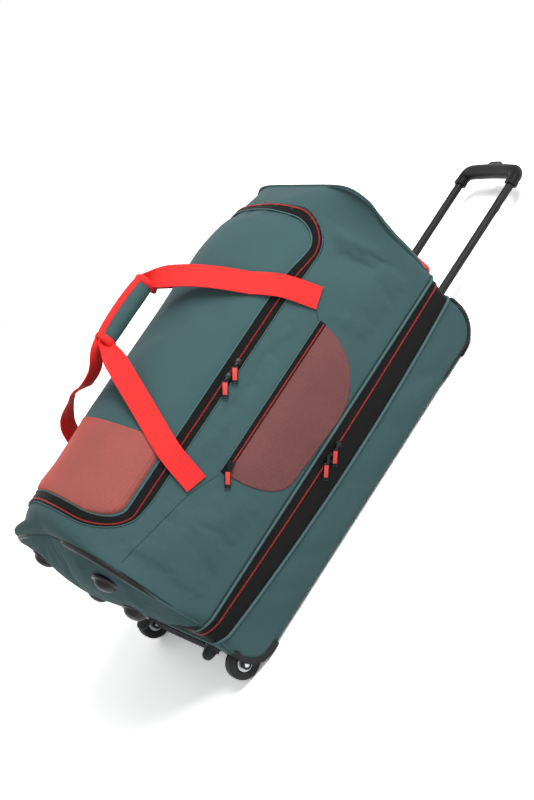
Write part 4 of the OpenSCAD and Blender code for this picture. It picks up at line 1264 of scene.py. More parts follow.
    def _feet(self) -> None:
        """Flanged dome feet on the wheel-end panel, turned from their profile."""
        for side in Side:
            axis = Vector((-1.0, self.foot_tilt[0] * side.value, self.foot_tilt[1])).normalized()
            for row, (y, z) in zip(("upper", "lower"), self.feet_yz[side]):
                y *= side.value
                x = FORM.wheel_dome * (FORM.panel_share(True, y, z) ** 2 - 1) + FORM.lean(0.0, y, z - FORM.deck_z)
                x += self.far_sink if side is Side.FAR else 0.0
                bm = turned(self.foot_profile, Vector((x, y, z)), axis)
                settle(bm, f"{side.label}_{row}_foot", GLOSS_ABS, Body.DECK, ("dome_feet",), levels=1)


@dataclass
class LidZip:
    """Lid panel with its mesh overlay, the zip round three of its sides and the cloth hinge on the far one."""

    cells: tuple[int, int] = (130, 84)
    tape_in: float = 14.4
    tape_hidden: float = 1.6
    tape_out: float = 10.4
    tape_tuck: float = 4.8
    puff: float = 5.0
    line_cells: int = 300
    wall: float = 3.4
    mesh_x1: float = 190.5
    mesh_gap: float = 1.5
    mesh_up: float = 1.2
    # distance from the handle end's zip line where the tape begins to narrow and to stand up, and over which
    narrow_from: Pair = (120.0, 80.0)
    proud_from: Pair = (70.0, 50.0)

    def build(self) -> None:
        """Builds the lid's pieces in order."""
        self._panel()
        self._mesh()
        self._tapes()
        self._teeth()
        self._hinge()

    def _width(self, x: float) -> float:
        """Width of the lid's half of the tape, less at the handle end, where the full lid hides some of it."""
        start, over = self.narrow_from
        return self.tape_in - self.tape_hidden * smooth((x - FORM.lid_x1 + start) / over)

    def _proud(self, x: float) -> float:
        """Height by which the bend at the handle end stands the zip up."""
        start, over = self.proud_from
        return smooth((x - FORM.lid_x1 + start) / over)

    def _beside(self, share: float, out: float, lift: float, stand: float = 1.0) -> Vector:
        """Point on the cloth beside the zip line, raised more where the zip stands up."""
        x, y = FORM.lid_line(share, out)
        return FORM.crest(x, y, lift + stand * self._proud(x))

    def _free(self, p: Vector) -> float:
        """Share of its movement that the lid's cloth has away from its seams."""
        far_edge = smooth((FORM.lid_half - p.y) / 40)
        return smooth(-(FORM.lid_distance(p.x, p.y) + self._width(p.x)) / 40) * far_edge

    def _lift(self, p: Vector) -> float:
        """Height of the lid's soft folds, held flat at its seams."""
        fold = 4.4 * bump(p.x + 0.9 * p.y, 395, 20) * bump(p.y, -40, 50)
        fold -= 4.2 * bump(p.x + 0.9 * p.y, 345, 24) * bump(p.y, -50, 50)
        inside = clamp(-(FORM.lid_distance(p.x, p.y) + self._width(p.x)) / 24) * smooth((FORM.lid_half - p.y) / 30)
        full = self.puff * math.sqrt(inside * (2 - inside))
        return full + self._free(p) * (fold + relief(p, 130, 4.0, 2.0) + relief(p, 44, 0.8, 9.0))

    def _point(self, x: float, y: float, grow: float) -> Vector:
        """Point on the lid's cloth."""
        flat = FORM.crest(x, y)
        return FORM.crest(x, y, grow + self._lift(flat))

    def _panel(self) -> None:
        """Lid cloth, cut to its zip."""
        x0, x1, half = FORM.lid_x0, FORM.lid_x1 + FORM.lid_turn, FORM.lid_half - 0.6

        def shape(u: float, v: float) -> Vector:
            """Point on the lid."""
            return self._point(between(x0, x1, u), half * (2 * v - 1), 0.0)

        bm = sheet(self.cells, (x1 - x0, 2 * half * 1.16), shape)

        def keep(p: Vector) -> float:
            """Distance inside the edge that lies under the tape."""
            if p.y > 0:
                end = FORM.lid_x1 + FORM.lid_shift(p.x, p.y)
                return min(p.x - x0, end - p.x) - 0.6 * self._width(p.x)
            return -FORM.lid_distance(p.x, p.y) - 0.6 * self._width(p.x)

        trim(bm, keep, lambda p: self._point(p.x, p.y, 0.0), 9.0)

        def free(p: Vector) -> float:
            """Share of its movement that the cloth has, held flat under the mesh."""
            return self._free(p) * smooth((p.x - self.mesh_x1 - 20) / 40)

        face_out(bm)
        slack = Slack(free)
        piece = settle(bm, "lid_cloth", TEAL_POLYESTER, Body.LID, ("lid_panel",), self.wall, LINING, slack=slack)

    def _mesh(self) -> None:
        """Mesh overlay on the lid's wheel end, with a bowed edge."""
        x0, half = FORM.lid_x0 + self.tape_in + self.mesh_gap, FORM.lid_half

        def shape(u: float, v: float) -> Vector:
            """Point on the overlay."""
            y = -half + (2 * half - 18) * v
            x1 = self.mesh_x1 - 6.2 * y / half + 17 * (min(y, 0.0) / half) ** 2
            return self._point(between(x0, x1, u), y, self.mesh_up)

        def keep(p: Vector) -> float:
            """Distance inside the lid's half of the tape."""
            return -FORM.lid_distance(p.x, p.y) - self.tape_in - self.mesh_gap

        bm = sheet((44, 70), (150.0, 290.0), shape)
        trim(bm, keep, lambda p: self._point(p.x, p.y, self.mesh_up), 7.0)
        # The mesh is painted brighter towards its far edge, as a painted sheen.
        piece = settle(face_out(bm), "lid_mesh_cloth", LID_MESH_AND_SHEEN, Body.LID, ("lid_mesh",), 0.9)

    def _tapes(self) -> None:
        """The two halves of the zip tape, and the rolled edge where each is sewn."""
        length = FORM.lid_line_length
        for name, outer, away, body, node in (
            ("lid_tape", False, -0.4, Body.LID, "lid_zip_tape"),
            ("mouth_tape", True, 0.4, Body.DECK, "mouth_zip_tape"),
        ):

            def shape(u: float, v: float) -> Vector:
                """Point on the tape, a little full between its edges."""
                return self._beside(u, between(self._edge(u, outer), away, v), 1.0 + 0.5 * math.sin(math.pi * v))

            bm = sheet((self.line_cells, 6), (length, self.tape_in), shape)
            settle(face_out(bm), name, BLACK_TAPE, body, (node,), 1.1)
        # Both rolled edges are painted lighter teal, as a painted highlight on their crowns.
        for name, outer, shift, r, body in (
            ("lid_edge_piping", False, -0.9, 1.3, Body.LID),
            ("mouth_edge_fold", True, 0.3, 0.8, Body.DECK),
        ):
            path = [self._beside(u, self._edge(u, outer) + shift, 1.3) for u in shares(self.line_cells)]
            settle(tube(path, r, Vector((0, 0, 1)), around=8), name, TEAL_PIPING_PAINTED_HIGHLIGHT, body)

    def _edge(self, share: float, outer: bool) -> float:
        """Sewn edge of a tape, as a distance from the zip line; the mouth's half is tucked in at the ends."""
        x, y = FORM.lid_line(share, 0.0)
        if not outer:
            return -self._width(x)
        side = smooth((min(x - FORM.lid_x0, FORM.lid_x1 - x) - 30) / 60) if y < 0 else 0.0
        return between(self.tape_tuck, self.tape_out, side)

    def _teeth(self) -> None:
        """Coil teeth, every other one on each half."""
        for name, out, body, start in (("lid_coil", -0.5, Body.LID, 0), ("mouth_coil", 0.5, Body.DECK, 1)):
            path = [self._beside(u, out, 1.2, 1.6) for u in shares(2 * self.line_cells)]
            spots = seam_places(path, outwards, 1.5, 0.3)
            settle(beads(spots[start::2], (1.9, 1.4, 1.5)), name, RED_COIL, body)

    def _hinge(self) -> None:
        """Strip of cloth that the lid folds on."""
        x0, x1, half, reach = FORM.lid_x0 + 8, FORM.lid_x1 - FORM.lid_turn - 6, FORM.lid_half, 9.0

        def shape(u: float, v: float) -> Vector:
            """Point on the strip, laid over both edges."""
            return FORM.crest(between(x0, x1, u), half - reach + 2 * reach * v, 0.9)

        bm = thicken(face_out(sheet((110, 10), (x1 - x0, 2 * reach), shape)), STRIP_WALL)
        piece = settle(bm, "lid_hinge_strip", TEAL_POLYESTER, None)
        line = FORM.crest((x0 + x1) / 2, half)
        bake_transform(piece)


@dataclass
class SidePocket:
    """Mesh pocket on the near side with its zip."""

    x0: float = 221.0
    x1: float = 505.0
    zip_z: float = 240.0
    low_z: float = 131.0
    left_x: float = 276.0
    right_x: float = 397.0
    tape_up: float = 7.5
    tape_down: float = 3.5
    # how far the outline bows down at either end, and the squareness of its left end, its floor and its right end
    left_deep: float = 101.0
    right_deep: float = 109.0
    powers: Triple = (2.0, 2.3, 1.95)
    # how far beside and above the pocket the deck's cloth is held flat
    hold_side: float = 21.0
    hold_up: float = 40.0

    def build(self) -> None:
        """Builds the pocket's pieces in order."""
        self._mesh()
        self._tape()

    @classmethod
    def cover(cls, p: Vector) -> float:
        """Share to which the deck's cloth is held flat behind the pocket."""
        if p.y >= 0:
            return 0.0
        inside = min(p.x - (cls.x0 - cls.hold_side), cls.x1 + cls.hold_side - p.x)
        return smooth(inside / 20) * smooth((cls.zip_z + cls.hold_up - p.z) / 22)

    def _outline(self, x: float, z: float) -> float:
        """How far a point lies inside the pocket's bow-shaped outline, near to millimetres at its edge."""
        down = max(self.zip_z - z, 0.0)
        left, floor, right = self.powers
        if x < self.left_x:
            past = (self.left_x - x) / (self.left_x - self.x0)
            inside = 1 - past**left - (down / self.left_deep) ** left
        elif x < self.right_x:
            deep = between(self.left_deep, self.right_deep, (x - self.left_x) / (self.right_x - self.left_x))
            inside = 1 - (down / deep) ** floor
        else:
            past = (x - self.right_x) / (self.x1 - self.right_x)
            inside = 1 - past**right - (down / self.right_deep) ** right
        return 45 * inside

    def _mesh(self) -> None:
        """Mesh panel, a little full in its middle."""
        top = self.zip_z - self.tape_down + 1

        def point(x: float, z: float) -> Vector:
            """Point on the mesh."""
            full = 2.6 * smooth(self._outline(x, z) / 40) * smooth((top - z) / 30)
            return FORM.side(x, z, 1.0 + full)

        def shape(u: float, v: float) -> Vector:
            """Point on the uncut mesh."""
            return point(between(self.x0, self.x1, u), between(self.low_z, top, v))

        bm = sheet((120, 48), (self.x1 - self.x0, 112.0), shape)
        trim(bm, lambda p: self._outline(p.x, p.z), lambda p: point(p.x, p.z), 5.0)
        # The pocket's mesh is painted darker than the lid's, as painted shade.
        piece = settle(face_out(bm), "pocket_mesh_cloth", POCKET_MESH_PAINTED_SHADE, Body.DECK, ("pocket_mesh",), 0.8)

    def _tape(self) -> None:
        """Zip tape over the mesh's upper edge, with its teeth and rolled edge."""
        length = self.x1 - self.x0
        bottom = self.zip_z - self.tape_down

        def shape(u: float, v: float) -> Vector:
            """Point on the tape, a little full between its edges."""
            z = bottom + (self.tape_up + self.tape_down) * v
            return FORM.side(self.x0 - 2 + (length + 4) * u, z, 1.6 + 0.6 * math.sin(math.pi * v))

        bm = sheet((90, 6), (length, self.tape_up + self.tape_down), shape)
        settle(face_out(bm), "pocket_tape", BLACK_TAPE, Body.DECK, ("pocket_zip_tape",), 1.2)
        line = [FORM.side(self.x0 + length * i / 200, self.zip_z, 2.2) for i in range(201)]
        settle(beads(seam_places(line, outwards, 1.5, 0.2), (1.0, 2.6, 1.4)), "pocket_coil", RED_COIL, Body.DECK)
        # The rolled edge is painted lighter teal, as a painted highlight on its crown.
        edge = [FORM.side(self.x0 + length * i / 90, self.zip_z + self.tape_up + 0.6, 1.2) for i in range(91)]
        settle(tube(edge, 0.9, Vector((0, 0, 1)), around=8), "pocket_edge_fold", TEAL_PIPING_PAINTED_HIGHLIGHT, Body.DECK)


@dataclass
class ZipGusset:
    """Black gusset between the decks: two tapes with the deck zip between them."""

    count: int = 520
    thickness: float = 2.6
    hinge_z: float = 110.0

    def build(self) -> None:
        """Builds the gusset's pieces in order."""
        self._tapes()
        self._teeth()
        self._hinge()

    def _band(self, low: Callable[[float], float], high: Callable[[float], float]) -> BMesh:
        """Closed band round the bag between two heights.

        Args:
            low: Lower edge at a distance from the axles.
            high: Upper edge at a distance from the axles.

        Returns:
            The band.
        """

        def shape(u: float, v: float) -> Vector:
            """Point on the band, set in a little."""
            x = FORM.tub_x(u)
            return FORM.around(u, between(low(x), high(x), v), -0.4)

        bm = sheet((self.count, 8), (FORM.girth, 30.0), shape)
        bmesh.ops.remove_doubles(bm, verts=bm.verts, dist=WELD)
        return face_out(bm, Vector((FORM.middle, 0.0, 105.0)))

    def _tapes(self) -> None:
        """Lower tape on the base and upper tape on the deck."""
        lower = self._band(lambda x: FORM.rim(x) - 2, lambda x: FORM.zip_height(x) - 0.6)
        settle(lower, "base_tape", BLACK_TAPE, Body.BASE, ("base_zip_tape",), self.thickness)
        upper = self._band(lambda x: FORM.zip_height(x) + 0.6, lambda x: FORM.deck_z - 2.5)
        settle(upper, "deck_tape", BLACK_TAPE, Body.DECK, ("deck_zip_tape",), self.thickness)

    def _teeth(self) -> None:
        """Coil teeth round the three sides that open."""
        long = FORM.base_x1 - FORM.base_x0
        far_side = 1 - long / (2 * (long + 2 * FORM.half_width))
        steps = 900
        for name, drop, body, start in (("base_coil", -0.55, Body.BASE, 0), ("deck_coil", 0.55, Body.DECK, 1)):
            ways = [far_side * i / steps for i in range(steps + 1)]
            path = [FORM.around(u, FORM.zip_height(FORM.tub_x(u)) + drop) for u in ways]
            spots = seam_places(path, level_out, 1.6, 0.1)
            settle(beads(spots[start::2], (2.0, 1.5, 1.5)), name, RED_COIL, body)

    def _hinge(self) -> None:
        """Strip of cloth on the far side that the upper deck folds on."""
        x0, x1, z0, z1 = 20.0, 656.0, self.hinge_z - 10, self.hinge_z + 10

        def shape(u: float, v: float) -> Vector:
            """Point on the strip."""
            return Vector((between(x0, x1, u), FORM.half_width + 0.6, between(z0, z1, v)))

        bm = thicken(face_out(sheet((90, 10), (x1 - x0, z1 - z0), shape)), STRIP_WALL)
        piece = settle(bm, "deck_hinge_strip", BLACK_TAPE, None)
        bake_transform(piece)


@dataclass
class BaseTub:
    """Base tub of stiffened cloth with its rim piping, side seams and the lining over the sleeves."""

    count: int = 520
    wall: float = 3.4
    guard_inner: float = 50.0
    guard_round: float = 0.72
    housing_y: float = 147.8
    binding_x: float = 557.0
    stand_yz: Pair = (124.0, 65.0)
    # radius and height of a stand foot, from its flange to its tip
    stand_profile: tuple[Pair, ...] = (
        (14.0, -2.0), (14.0, 1.6), (13.2, 2.6), (11.4, 3.2), (10.8, 9.0), (10.0, 15.0), (8.6, 19.6), (6.4, 22.6),
        (3.4, 24.4), (0.0, 24.9),
    )
    # y and z of the handle tubes, half width and half height of their openings, and where these begin
    exit_yz: Pair = (77.0, 41.0)
    exit_half: Pair = (17.0, 10.0)
    exit_x: float = 640.0
    # x between which the walls fold, clear of the wheel corners and the binding
    folds_x: Pair = (75.0, 630.0)
    levels: tuple[float, ...] = (
        1.0, 0.9, 0.8, 0.7, 0.6, 0.52, 0.45, 0.38, 0.32, 0.26, 0.21, 0.165, 0.125, 0.09, 0.062, 0.04, 0.023, 0.01,
        0.003, 0.0,
    )

    def build(self) -> None:
        """Builds the tub's pieces in order."""
        self._walls()
        self._rim()
        self._side_seams()
        self._stand_feet()
        self._lining()

    def _wall_point(self, share: float, level: float) -> Vector:
        """Point on the tub's wall, from its rim down to its floor.

        Args:
            share: Share of the way round.
            level: 1 at the rim and 0 at the floor.

        Returns:
            The point, in millimetres.
        """
        z = between(FORM.floor_z, FORM.rim(FORM.tub_x(share)) - 1, level)
        end_in, side_in = FORM.inset(z, FORM.tub_corner), FORM.inset(z, FORM.tub_edge)
        x, y = FORM.plan(share, FORM.base_x0 + end_in, FORM.base_x1 - end_in, FORM.half_width - side_in)
        p = Vector((x, y, z))
        return FORM.soften(p) if z > 66 else p

    def _walls(self) -> None:
        """Walls and floor, cut out for the wheel corners and the handle tubes."""

        def shape(u: float, v: float) -> Vector:
            """Point on the wall with its slow folds."""
            p = self._wall_point(u, self.levels[round(v * (len(self.levels) - 1))])
            hold = smooth((FORM.rim(p.x) - p.z) / 25) * smooth((p.z - 12) / 20)
            near = abs(p.y) > FORM.half_width - 2
            wave = 2.6 * math.sin((p.x + 1.3 * p.z) / 31) * (0.6 + noise.noise(p / 140)) + relief(p, 95, 3.6, 5.0)
            first, last = self.folds_x
            deep = hold * smooth((p.x - first) / 40) * smooth((last - p.x) / 40) * wave
            return p + Vector((0, math.copysign(deep, p.y) if near else 0, 0))

        bm = sheet((self.count, len(self.levels) - 1), (FORM.girth, 100.0), shape)
        bmesh.ops.remove_doubles(bm, verts=bm.verts, dist=WELD)

        def keep(p: Vector) -> float:
            """Distance outside the wheel corners and the tube exits."""
            corner_x, corner_z = FORM.base_x0 + FORM.tub_corner, FORM.floor_z + FORM.tub_corner
            corner = max(p.x - corner_x, p.z - corner_z, self.housing_y - abs(p.y))
            if abs(p.y) > 180:
                r = self.guard_round * self.guard_inner
                a, b = corner_x - self.guard_inner + r - p.x, corner_z - self.guard_inner + r - p.z
                corner = max(corner, r - (math.hypot(a, b) if min(a, b) > 0 else max(a, b)))
            (y, z), (wide, high) = self.exit_yz, self.exit_half
            tube_exit = max(abs(abs(p.y) - y) - wide, abs(p.z - z) - high, self.exit_x - p.x)
            return min(corner, tube_exit)

        trim(bm, keep, lambda p: p, 7.0)
        floor = [e for e in bm.edges if e.is_boundary and all(v.co.z < (FORM.floor_z + 0.01) * MM for v in e.verts)]
        bmesh.ops.holes_fill(bm, edges=floor, sides=0)
        face_out(bm, Vector((FORM.middle, 0.0, 50.0)))
        piece = settle(bm, "tub_cloth", TEAL_POLYESTER, Body.BASE, ("base_tub",), self.wall, LINING)

    def _rim(self) -> None:
        """Piping along the tub's sagging rim."""
        # The piping is painted lighter teal, as a painted highlight on its crown.
        loop = [FORM.around(u, FORM.rim(FORM.tub_x(u)) - 1, 1.0) for u in shares(self.count)[:-1]]
        bm = tube(loop, 2.4, Vector((0, 0, 1)), closed=True)
        settle(bm, "tub_rim_piping", TEAL_PIPING_PAINTED_HIGHLIGHT, Body.BASE, ("base_piping",))

    def _side_seams(self) -> None:
        """Piping above the wheel corners, and black binding round the handle end's corners."""
        for side in Side:
            top = FORM.rim(FORM.base_x0)
            upright = [
                FORM.soften(Vector((FORM.base_x0, side.value * FORM.half_width, top - (top - 64) * i / 16)))
                for i in range(17)
            ]
            # The corner piping is painted lighter teal, as a painted highlight on its crown.
            for name, shift in (("inner", 5.0), ("outer", 0.0)):
                path = [p + Vector((shift, side.value * 0.6, 0)) for p in upright]
                bm = tube(path, 1.6, Vector((0, side.value, 0)), around=8)
                settle(bm, f"{side.label}_corner_piping_{name}", TEAL_PIPING_PAINTED_HIGHLIGHT, Body.BASE)
            bm = tube(self._bound_edge(side), 2.7, Vector((0, side.value, 0)), taper=0.08)
            settle(bm, f"{side.label}_edge_binding", EDGE_GUARD, Body.BASE)

    def _bound_edge(self, side: Side) -> list[Vector]:
        """Line of the black binding, from the rim round the handle end's corner and along the lower edge.

        Args:
            side: Side of the bag.

        Returns:
            Points in millimetres.
        """
        r, low = FORM.tub_corner - 0.6, 7.0
        cx, cz = FORM.base_x1 - FORM.tub_corner, FORM.floor_z + FORM.tub_corner
        flat = [(cx + r, FORM.rim(FORM.base_x1) - 4)]
        for i in range(41):
            turn = math.pi / 2 * i / 40
            flat.append((cx + r * math.cos(turn), max(cz - r * math.sin(turn), low)))
        flat += [(cx - (cx - self.binding_x) * i / 16, low) for i in range(1, 17)]
        return [
            Vector((x, side.value * (FORM.half_width - FORM.inset(z, FORM.tub_edge) + 0.2), z)) for x, z in flat
        ]

    def _stand_feet(self) -> None:
        """Round-tipped feet on the tub's end wall, turned from their profile."""
        for side in Side:
            seat = Vector((FORM.base_x0, side.value * self.stand_yz[0], self.stand_yz[1]))
            bm = turned(self.stand_profile, seat, Vector((-1, 0, 0)))
            settle(bm, f"{side.label}_stand_foot", BLACK_ABS, Body.BASE, ("stand_feet",), levels=1)

    def _lining(self) -> None:
        """Lining laid over the handle sleeves, raised along each."""
        x0, x1, half, z = 8.0, 664.0, 178.0, 50.4

        def shape(u: float, v: float) -> Vector:
            """Point on the lining."""
            p = Vector((between(x0, x1, u), half * (2 * v - 1), z))
            ridge = bump(abs(p.y), self.exit_yz[0], 16)
            p.z += 1.6 * ridge * smooth((p.x - 140) / 30) - 1.2 * (1 - ridge) * noise.noise(p / 70)
            return p

        bm = sheet((80, 48), (x1 - x0, 2 * half), shape)
        trim(bm, lambda p: max(p.x - 66, 140 - abs(p.y)), lambda p: p, 8.0)
        piece = settle(bm, "lining_sheet", LINING, Body.BASE, ("sleeve_lining",), 1.0)


@dataclass
class CarryStraps:
    """Two webbing handles and the padded wrap that holds them together."""

    width: float = 38.0
    thickness: float = 2.2
    foot_x: float = 181.0
    middle_x: float = 359.0
    foot_y: float = 162.692
    leave_y: float = 112.0
    neck_y: float = 3.5
    wrap_z: float = 464.0
    wrap_half: float = 61.0
    wrap_r: float = 17.4
    slit: float = math.radians(16)
    slit_turn: float = math.radians(101)
    rows: int = 96
    dip: float = 13.0
    bows: dict[tuple[Side, bool], Vector] = field(
        default_factory=lambda: {
            (Side.NEAR, True): Vector((0, 3, 2)),
            (Side.NEAR, False): Vector((0, 6, 16)),
            (Side.FAR, False): Vector((0, 3, 2)),
        }
    )
    # distance by which the far strap's slack foot stays out of the deck's cloth
    clear: float = 4.0
    # x and half width of the place under a wheel-end foot where the deck's cloth is held flat, and its lower edge
    flat_x: float = 190.0
    flat_half: float = 48.0
    flat_z: float = 235.0
    # how much narrower the webbing is where the wrap gathers it
    gathered: float = 13.0
    # x, y and z of the far strap's slack leg, and how much its face looks to the near side
    loose: tuple[tuple[float, float, float, float], ...] = (
        (181.0, 162.7, 268.0, -0.45), (172.0, 160.0, 302.0, -0.6), (169.0, 150.0, 340.0, -0.65),
        (175.0, 136.0, 372.0, -0.6), (186.0, 118.0, 396.0, -0.45), (200.0, 96.0, 414.0, -0.1),
        (217.0, 72.0, 426.0, 0.12), (235.0, 45.0, 429.0, -0.2), (257.0, 20.0, 441.0, -0.35),
        (281.0, 6.0, 459.0, -0.5), (298.0, 3.5, 464.0, -0.9),
    )

    @classmethod
    def cover(cls, p: Vector) -> float:
        """Share to which the deck's cloth is held flat under the straps' feet."""
        beside = min(abs(p.x - cls.flat_x), abs(p.x - (2 * cls.middle_x - cls.flat_x)))
        return smooth((cls.flat_half - beside) / 18) * smooth((p.z - cls.flat_z) / 20)

    def build(self) -> None:
        """Builds the straps and the wrap."""
        for side, body in ((Side.NEAR, Body.NEAR_STRAP), (Side.FAR, Body.FAR_STRAP)):
            self._strap(side, body)
        self._wrap()

    def _leg(self, t: float, bow: Vector, dip: float = 0.0) -> tuple[Vector, Vector, float]:
        """A place on a strap's leg, drawn for the far side and the wheel end.

        Args:
            t: Share from the foot at 0 to the wrap at 1.
            bow: How far the free part bends out of its straight line.
            dip: How far the webbing sags where it leaves the wrap.

        Returns:
            The point, the direction out of the webbing's face, and its width.
        """
        lie = 0.34
        x = between(self.foot_x, self.middle_x - self.wrap_half, t)
        if t <= lie:
            s = t / lie
            y = between(self.foot_y, self.leave_y, s)
            p = FORM.crest(x, y, 2.2 + 6.0 * smooth(2 * s))
            out = outwards(p).normalized()
        else:
            s = (t - lie) / (1 - lie)
            start = FORM.crest(x, self.leave_y, 8.2)
            y, z = between(self.leave_y, self.neck_y, s), between(start.z, self.wrap_z, s)
            p = Vector((x, y, z - dip * bump(s, 0.86, 0.1))) + bow * math.sin(math.pi * s)
            flat = Vector((0, self.wrap_z - start.z, self.leave_y - self.neck_y)).normalized()
            out = flat.lerp(Vector((0, 1, 0)), smooth((s - 0.72) / 0.28)).normalized()
        return p, out, self.width - self.gathered * smooth((t - 0.83) / 0.17)

    def _loose_leg(self, t: float) -> tuple[Vector, Vector, float]:
        """A place on the far strap's slack leg at the wheel end, which stands off the bag and twists.

        Args:
            t: Share from the foot at 0 to the wrap at 1.

        Returns:
            The point, the direction out of the webbing's face, and its width.
        """
        marks = self.loose
        place_in = clamp(t) * (len(marks) - 1)
        i = min(int(place_in), len(marks) - 2)
        s = place_in - i
        knots = [marks[min(max(i + k, 0), len(marks) - 1)] for k in (-1, 0, 1, 2)]
        # weights of a Catmull-Rom curve through the marks, and their slopes
        blend = (
            -0.5 * s + s * s - 0.5 * s**3, 1 - 2.5 * s * s + 1.5 * s**3,
            0.5 * s + 2 * s * s - 1.5 * s**3, -0.5 * s * s + 0.5 * s**3,
        )
        slope = (-0.5 + 2 * s - 1.5 * s * s, -5 * s + 4.5 * s * s, 0.5 + 4 * s - 4.5 * s * s, -s + 1.5 * s * s)
        x, y, z, facing = (sum(b * knot[k] for b, knot in zip(blend, knots)) for k in range(4))
        run = Vector([sum(b * knot[k] for b, knot in zip(slope, knots)) for k in range(3)]).normalized()
        near = Vector((-0.2, -0.88, 0.44))
        near = (near - run * near.dot(run)).normalized()
        away = run.cross(near)
        if away.y + away.z < 0:
            away = -away
        facing = clamp(facing, -1.0, 1.0)
        out = away * math.sqrt(1 - facing * facing) + near * facing
        return Vector((x, y, z)), out, self.width - self.gathered * smooth((t - 0.86) / 0.14)

    def _strap(self, side: Side, body: Body) -> None:
        """One webbing handle with its sewn feet.

        Args:
            side: Side of the bag that its feet are on.
            body: Body that it rides on.
        """
        into_wrap = 0.12

        def place_on(t: float) -> tuple[Vector, Vector, float, float]:
            """Point, face direction, width and cup at a share of the whole strap."""
            half = t if t <= 0.5 else 1 - t
            leg = half * 2 * (1 + into_wrap)
            if side is Side.FAR and t <= 0.5:
                p, out, width = self._loose_leg(min(leg, 1.0))
            else:
                dip = self.dip if side is Side.FAR else 0.0
                p, out, width = self._leg(min(leg, 1.0), self.bows[side, t <= 0.5], dip)
            if leg > 1:
                p = p + Vector(((leg - 1) / into_wrap * self.wrap_half, 0, 0))
            if t > 0.5:
                p = Vector((2 * self.middle_x - p.x, p.y, p.z))
            cup = 5.0 * bump(leg, 1.0, 0.12)
            return p, out, width, cup

        def shape(u: float, v: float) -> Vector:
            """Point on the webbing."""
            p, out, width, cup = place_on(u)
            ahead, behind = place_on(min(u + 0.004, 1))[0], place_on(max(u - 0.004, 0))[0]
            run = (ahead - behind).normalized()
            across = out.cross(run).normalized()
            face = run.cross(across)
            w = 2 * v - 1
            q = p + across * (w * width / 2) + face * (cup * (w * w - 0.4))
            q.y *= side.value
            skin = FORM.crest(q.x, q.y, self.clear)
            if side is Side.FAR and u < 0.1 and q.z < skin.z:
                normal = outwards(skin).normalized()
                q += normal * ((skin.z - q.z) * normal.z)
            return q

        bm = sheet((2 * self.rows, 8), (1000.0, self.width), shape)
        bm.normal_update()
        bmesh.ops.recalc_face_normals(thicken(bm, self.thickness), faces=bm.faces)
        settle(bm, f"{side.label}_webbing", RED_WEBBING, body, (f"{side.label}_strap",), sharp=50)
        self._foot_stitches(side, body)

    def _foot_stitches(self, side: Side, body: Body) -> None:
        """Sewn box at each foot of a strap."""
        spots: list[Matrix] = []
        for end in (1, -1):
            corners = ((0.012, -14.0), (0.012, 14.0), (0.12, 14.0), (0.12, -14.0), (0.012, -14.0))
            line: list[Vector] = []
            for (t0, w0), (t1, w1) in zip(corners, corners[1:]):
                for i in range(12):
                    t, w = t0 + (t1 - t0) * i / 12, w0 + (w1 - w0) * i / 12
                    p, out, _ = self._leg(t, Vector())
                    run = (self._leg(t + 0.01, Vector())[0] - p).normalized()
                    q = p + out.cross(run).normalized() * w + out * 1.5
                    x = q.x if end > 0 else 2 * self.middle_x - q.x
                    line.append(Vector((x, q.y * side.value, q.z)))
            spots += seam_places(line, outwards, 4.0, 0.2)
        # The stitches' thread is painted darker, as painted shade in their holes.
        settle(beads(spots, (2.8, 0.8, 0.6)), f"{side.label}_foot_stitches", RED_THREAD_AND_SHADE, body)

    def _wrap_point(self, along: float, turn: float, grow: float) -> Vector:
        """Point on the padded wrap.

        Args:
            along: Distance from the wrap's middle.
            turn: Angle round it from the middle of its slit.
            grow: Distance outwards.

        Returns:
            The point, in millimetres.
        """
        t = along / self.wrap_half
        r = self.wrap_r - 2.4 * t**4 + grow
        a = turn + self.slit_turn
        sag = -3.0 * t * t
        return Vector((self.middle_x + along, r * 0.94 * math.cos(a), self.wrap_z + sag + r * math.sin(a)))

    def _wrap(self) -> None:
        """Padded wrap with red bound edges, open along its slit."""
        length, reach = self.wrap_half - 4, 2 * math.pi - 2 * self.slit

        def shape(u: float, v: float) -> Vector:
            """Point on the pad, fuller between its edges."""
            full = math.sin(math.pi * clamp(u)) ** 0.6 * math.sin(math.pi * clamp(v)) ** 0.5
            return self._wrap_point(length * (2 * u - 1), self.slit + reach * v, 1.6 * full - 1.0)

        bm = sheet((60, 60), (2 * length, 110.0), shape)
        core = Vector((self.middle_x, 0, self.wrap_z))
        piece = settle(face_out(bm, core), "wrap_pad", TEAL_POLYESTER, Body.NEAR_STRAP, ("grip_wrap",), 4.2)
        steps = 30
        low, high = self.slit - 0.04, self.slit + reach + 0.04
        edge = [(-length + 2 * length * i / steps, low) for i in range(steps)]
        edge += [(length, low + (high - low) * i / (2 * steps)) for i in range(2 * steps)]
        edge += [(length - 2 * length * i / steps, high) for i in range(steps)]
        edge += [(-length, high - (high - low) * i / (2 * steps)) for i in range(2 * steps)]
        self._binding(edge, core)

    def _binding(self, edge: Sequence[Pair], core: Vector) -> None:
        """Flat red binding folded over the wrap's edge.

        Args:
            edge: Distance along and turn of each point of the edge.
            core: Middle of the wrap.
        """
        count = len(edge)
        path = [self._wrap_point(a, t, -1.2) for a, t in edge]

        def shape(u: float, v: float) -> Vector:
            """Point on the binding's oval section."""
            i = round(u * count) % count
            p = path[i]
            run = (path[(i + 1) % count] - path[i - 1]).normalized()
            out = Vector((0, p.y - core.y, p.z - core.z)).normalized()
            across = out.cross(run).normalized()
            turn = 2 * math.pi * v
            full = 1.4 if abs(edge[i][0]) > self.wrap_half - 4.1 else 1.0
            return p + across * (4.6 * full * math.cos(turn)) + out * (3.2 * full * math.sin(turn))

        bm = close_seams(sheet((count, 12), (420.0, 24.0), shape))
        settle(bm, "wrap_binding", RED_WEBBING, Body.NEAR_STRAP)


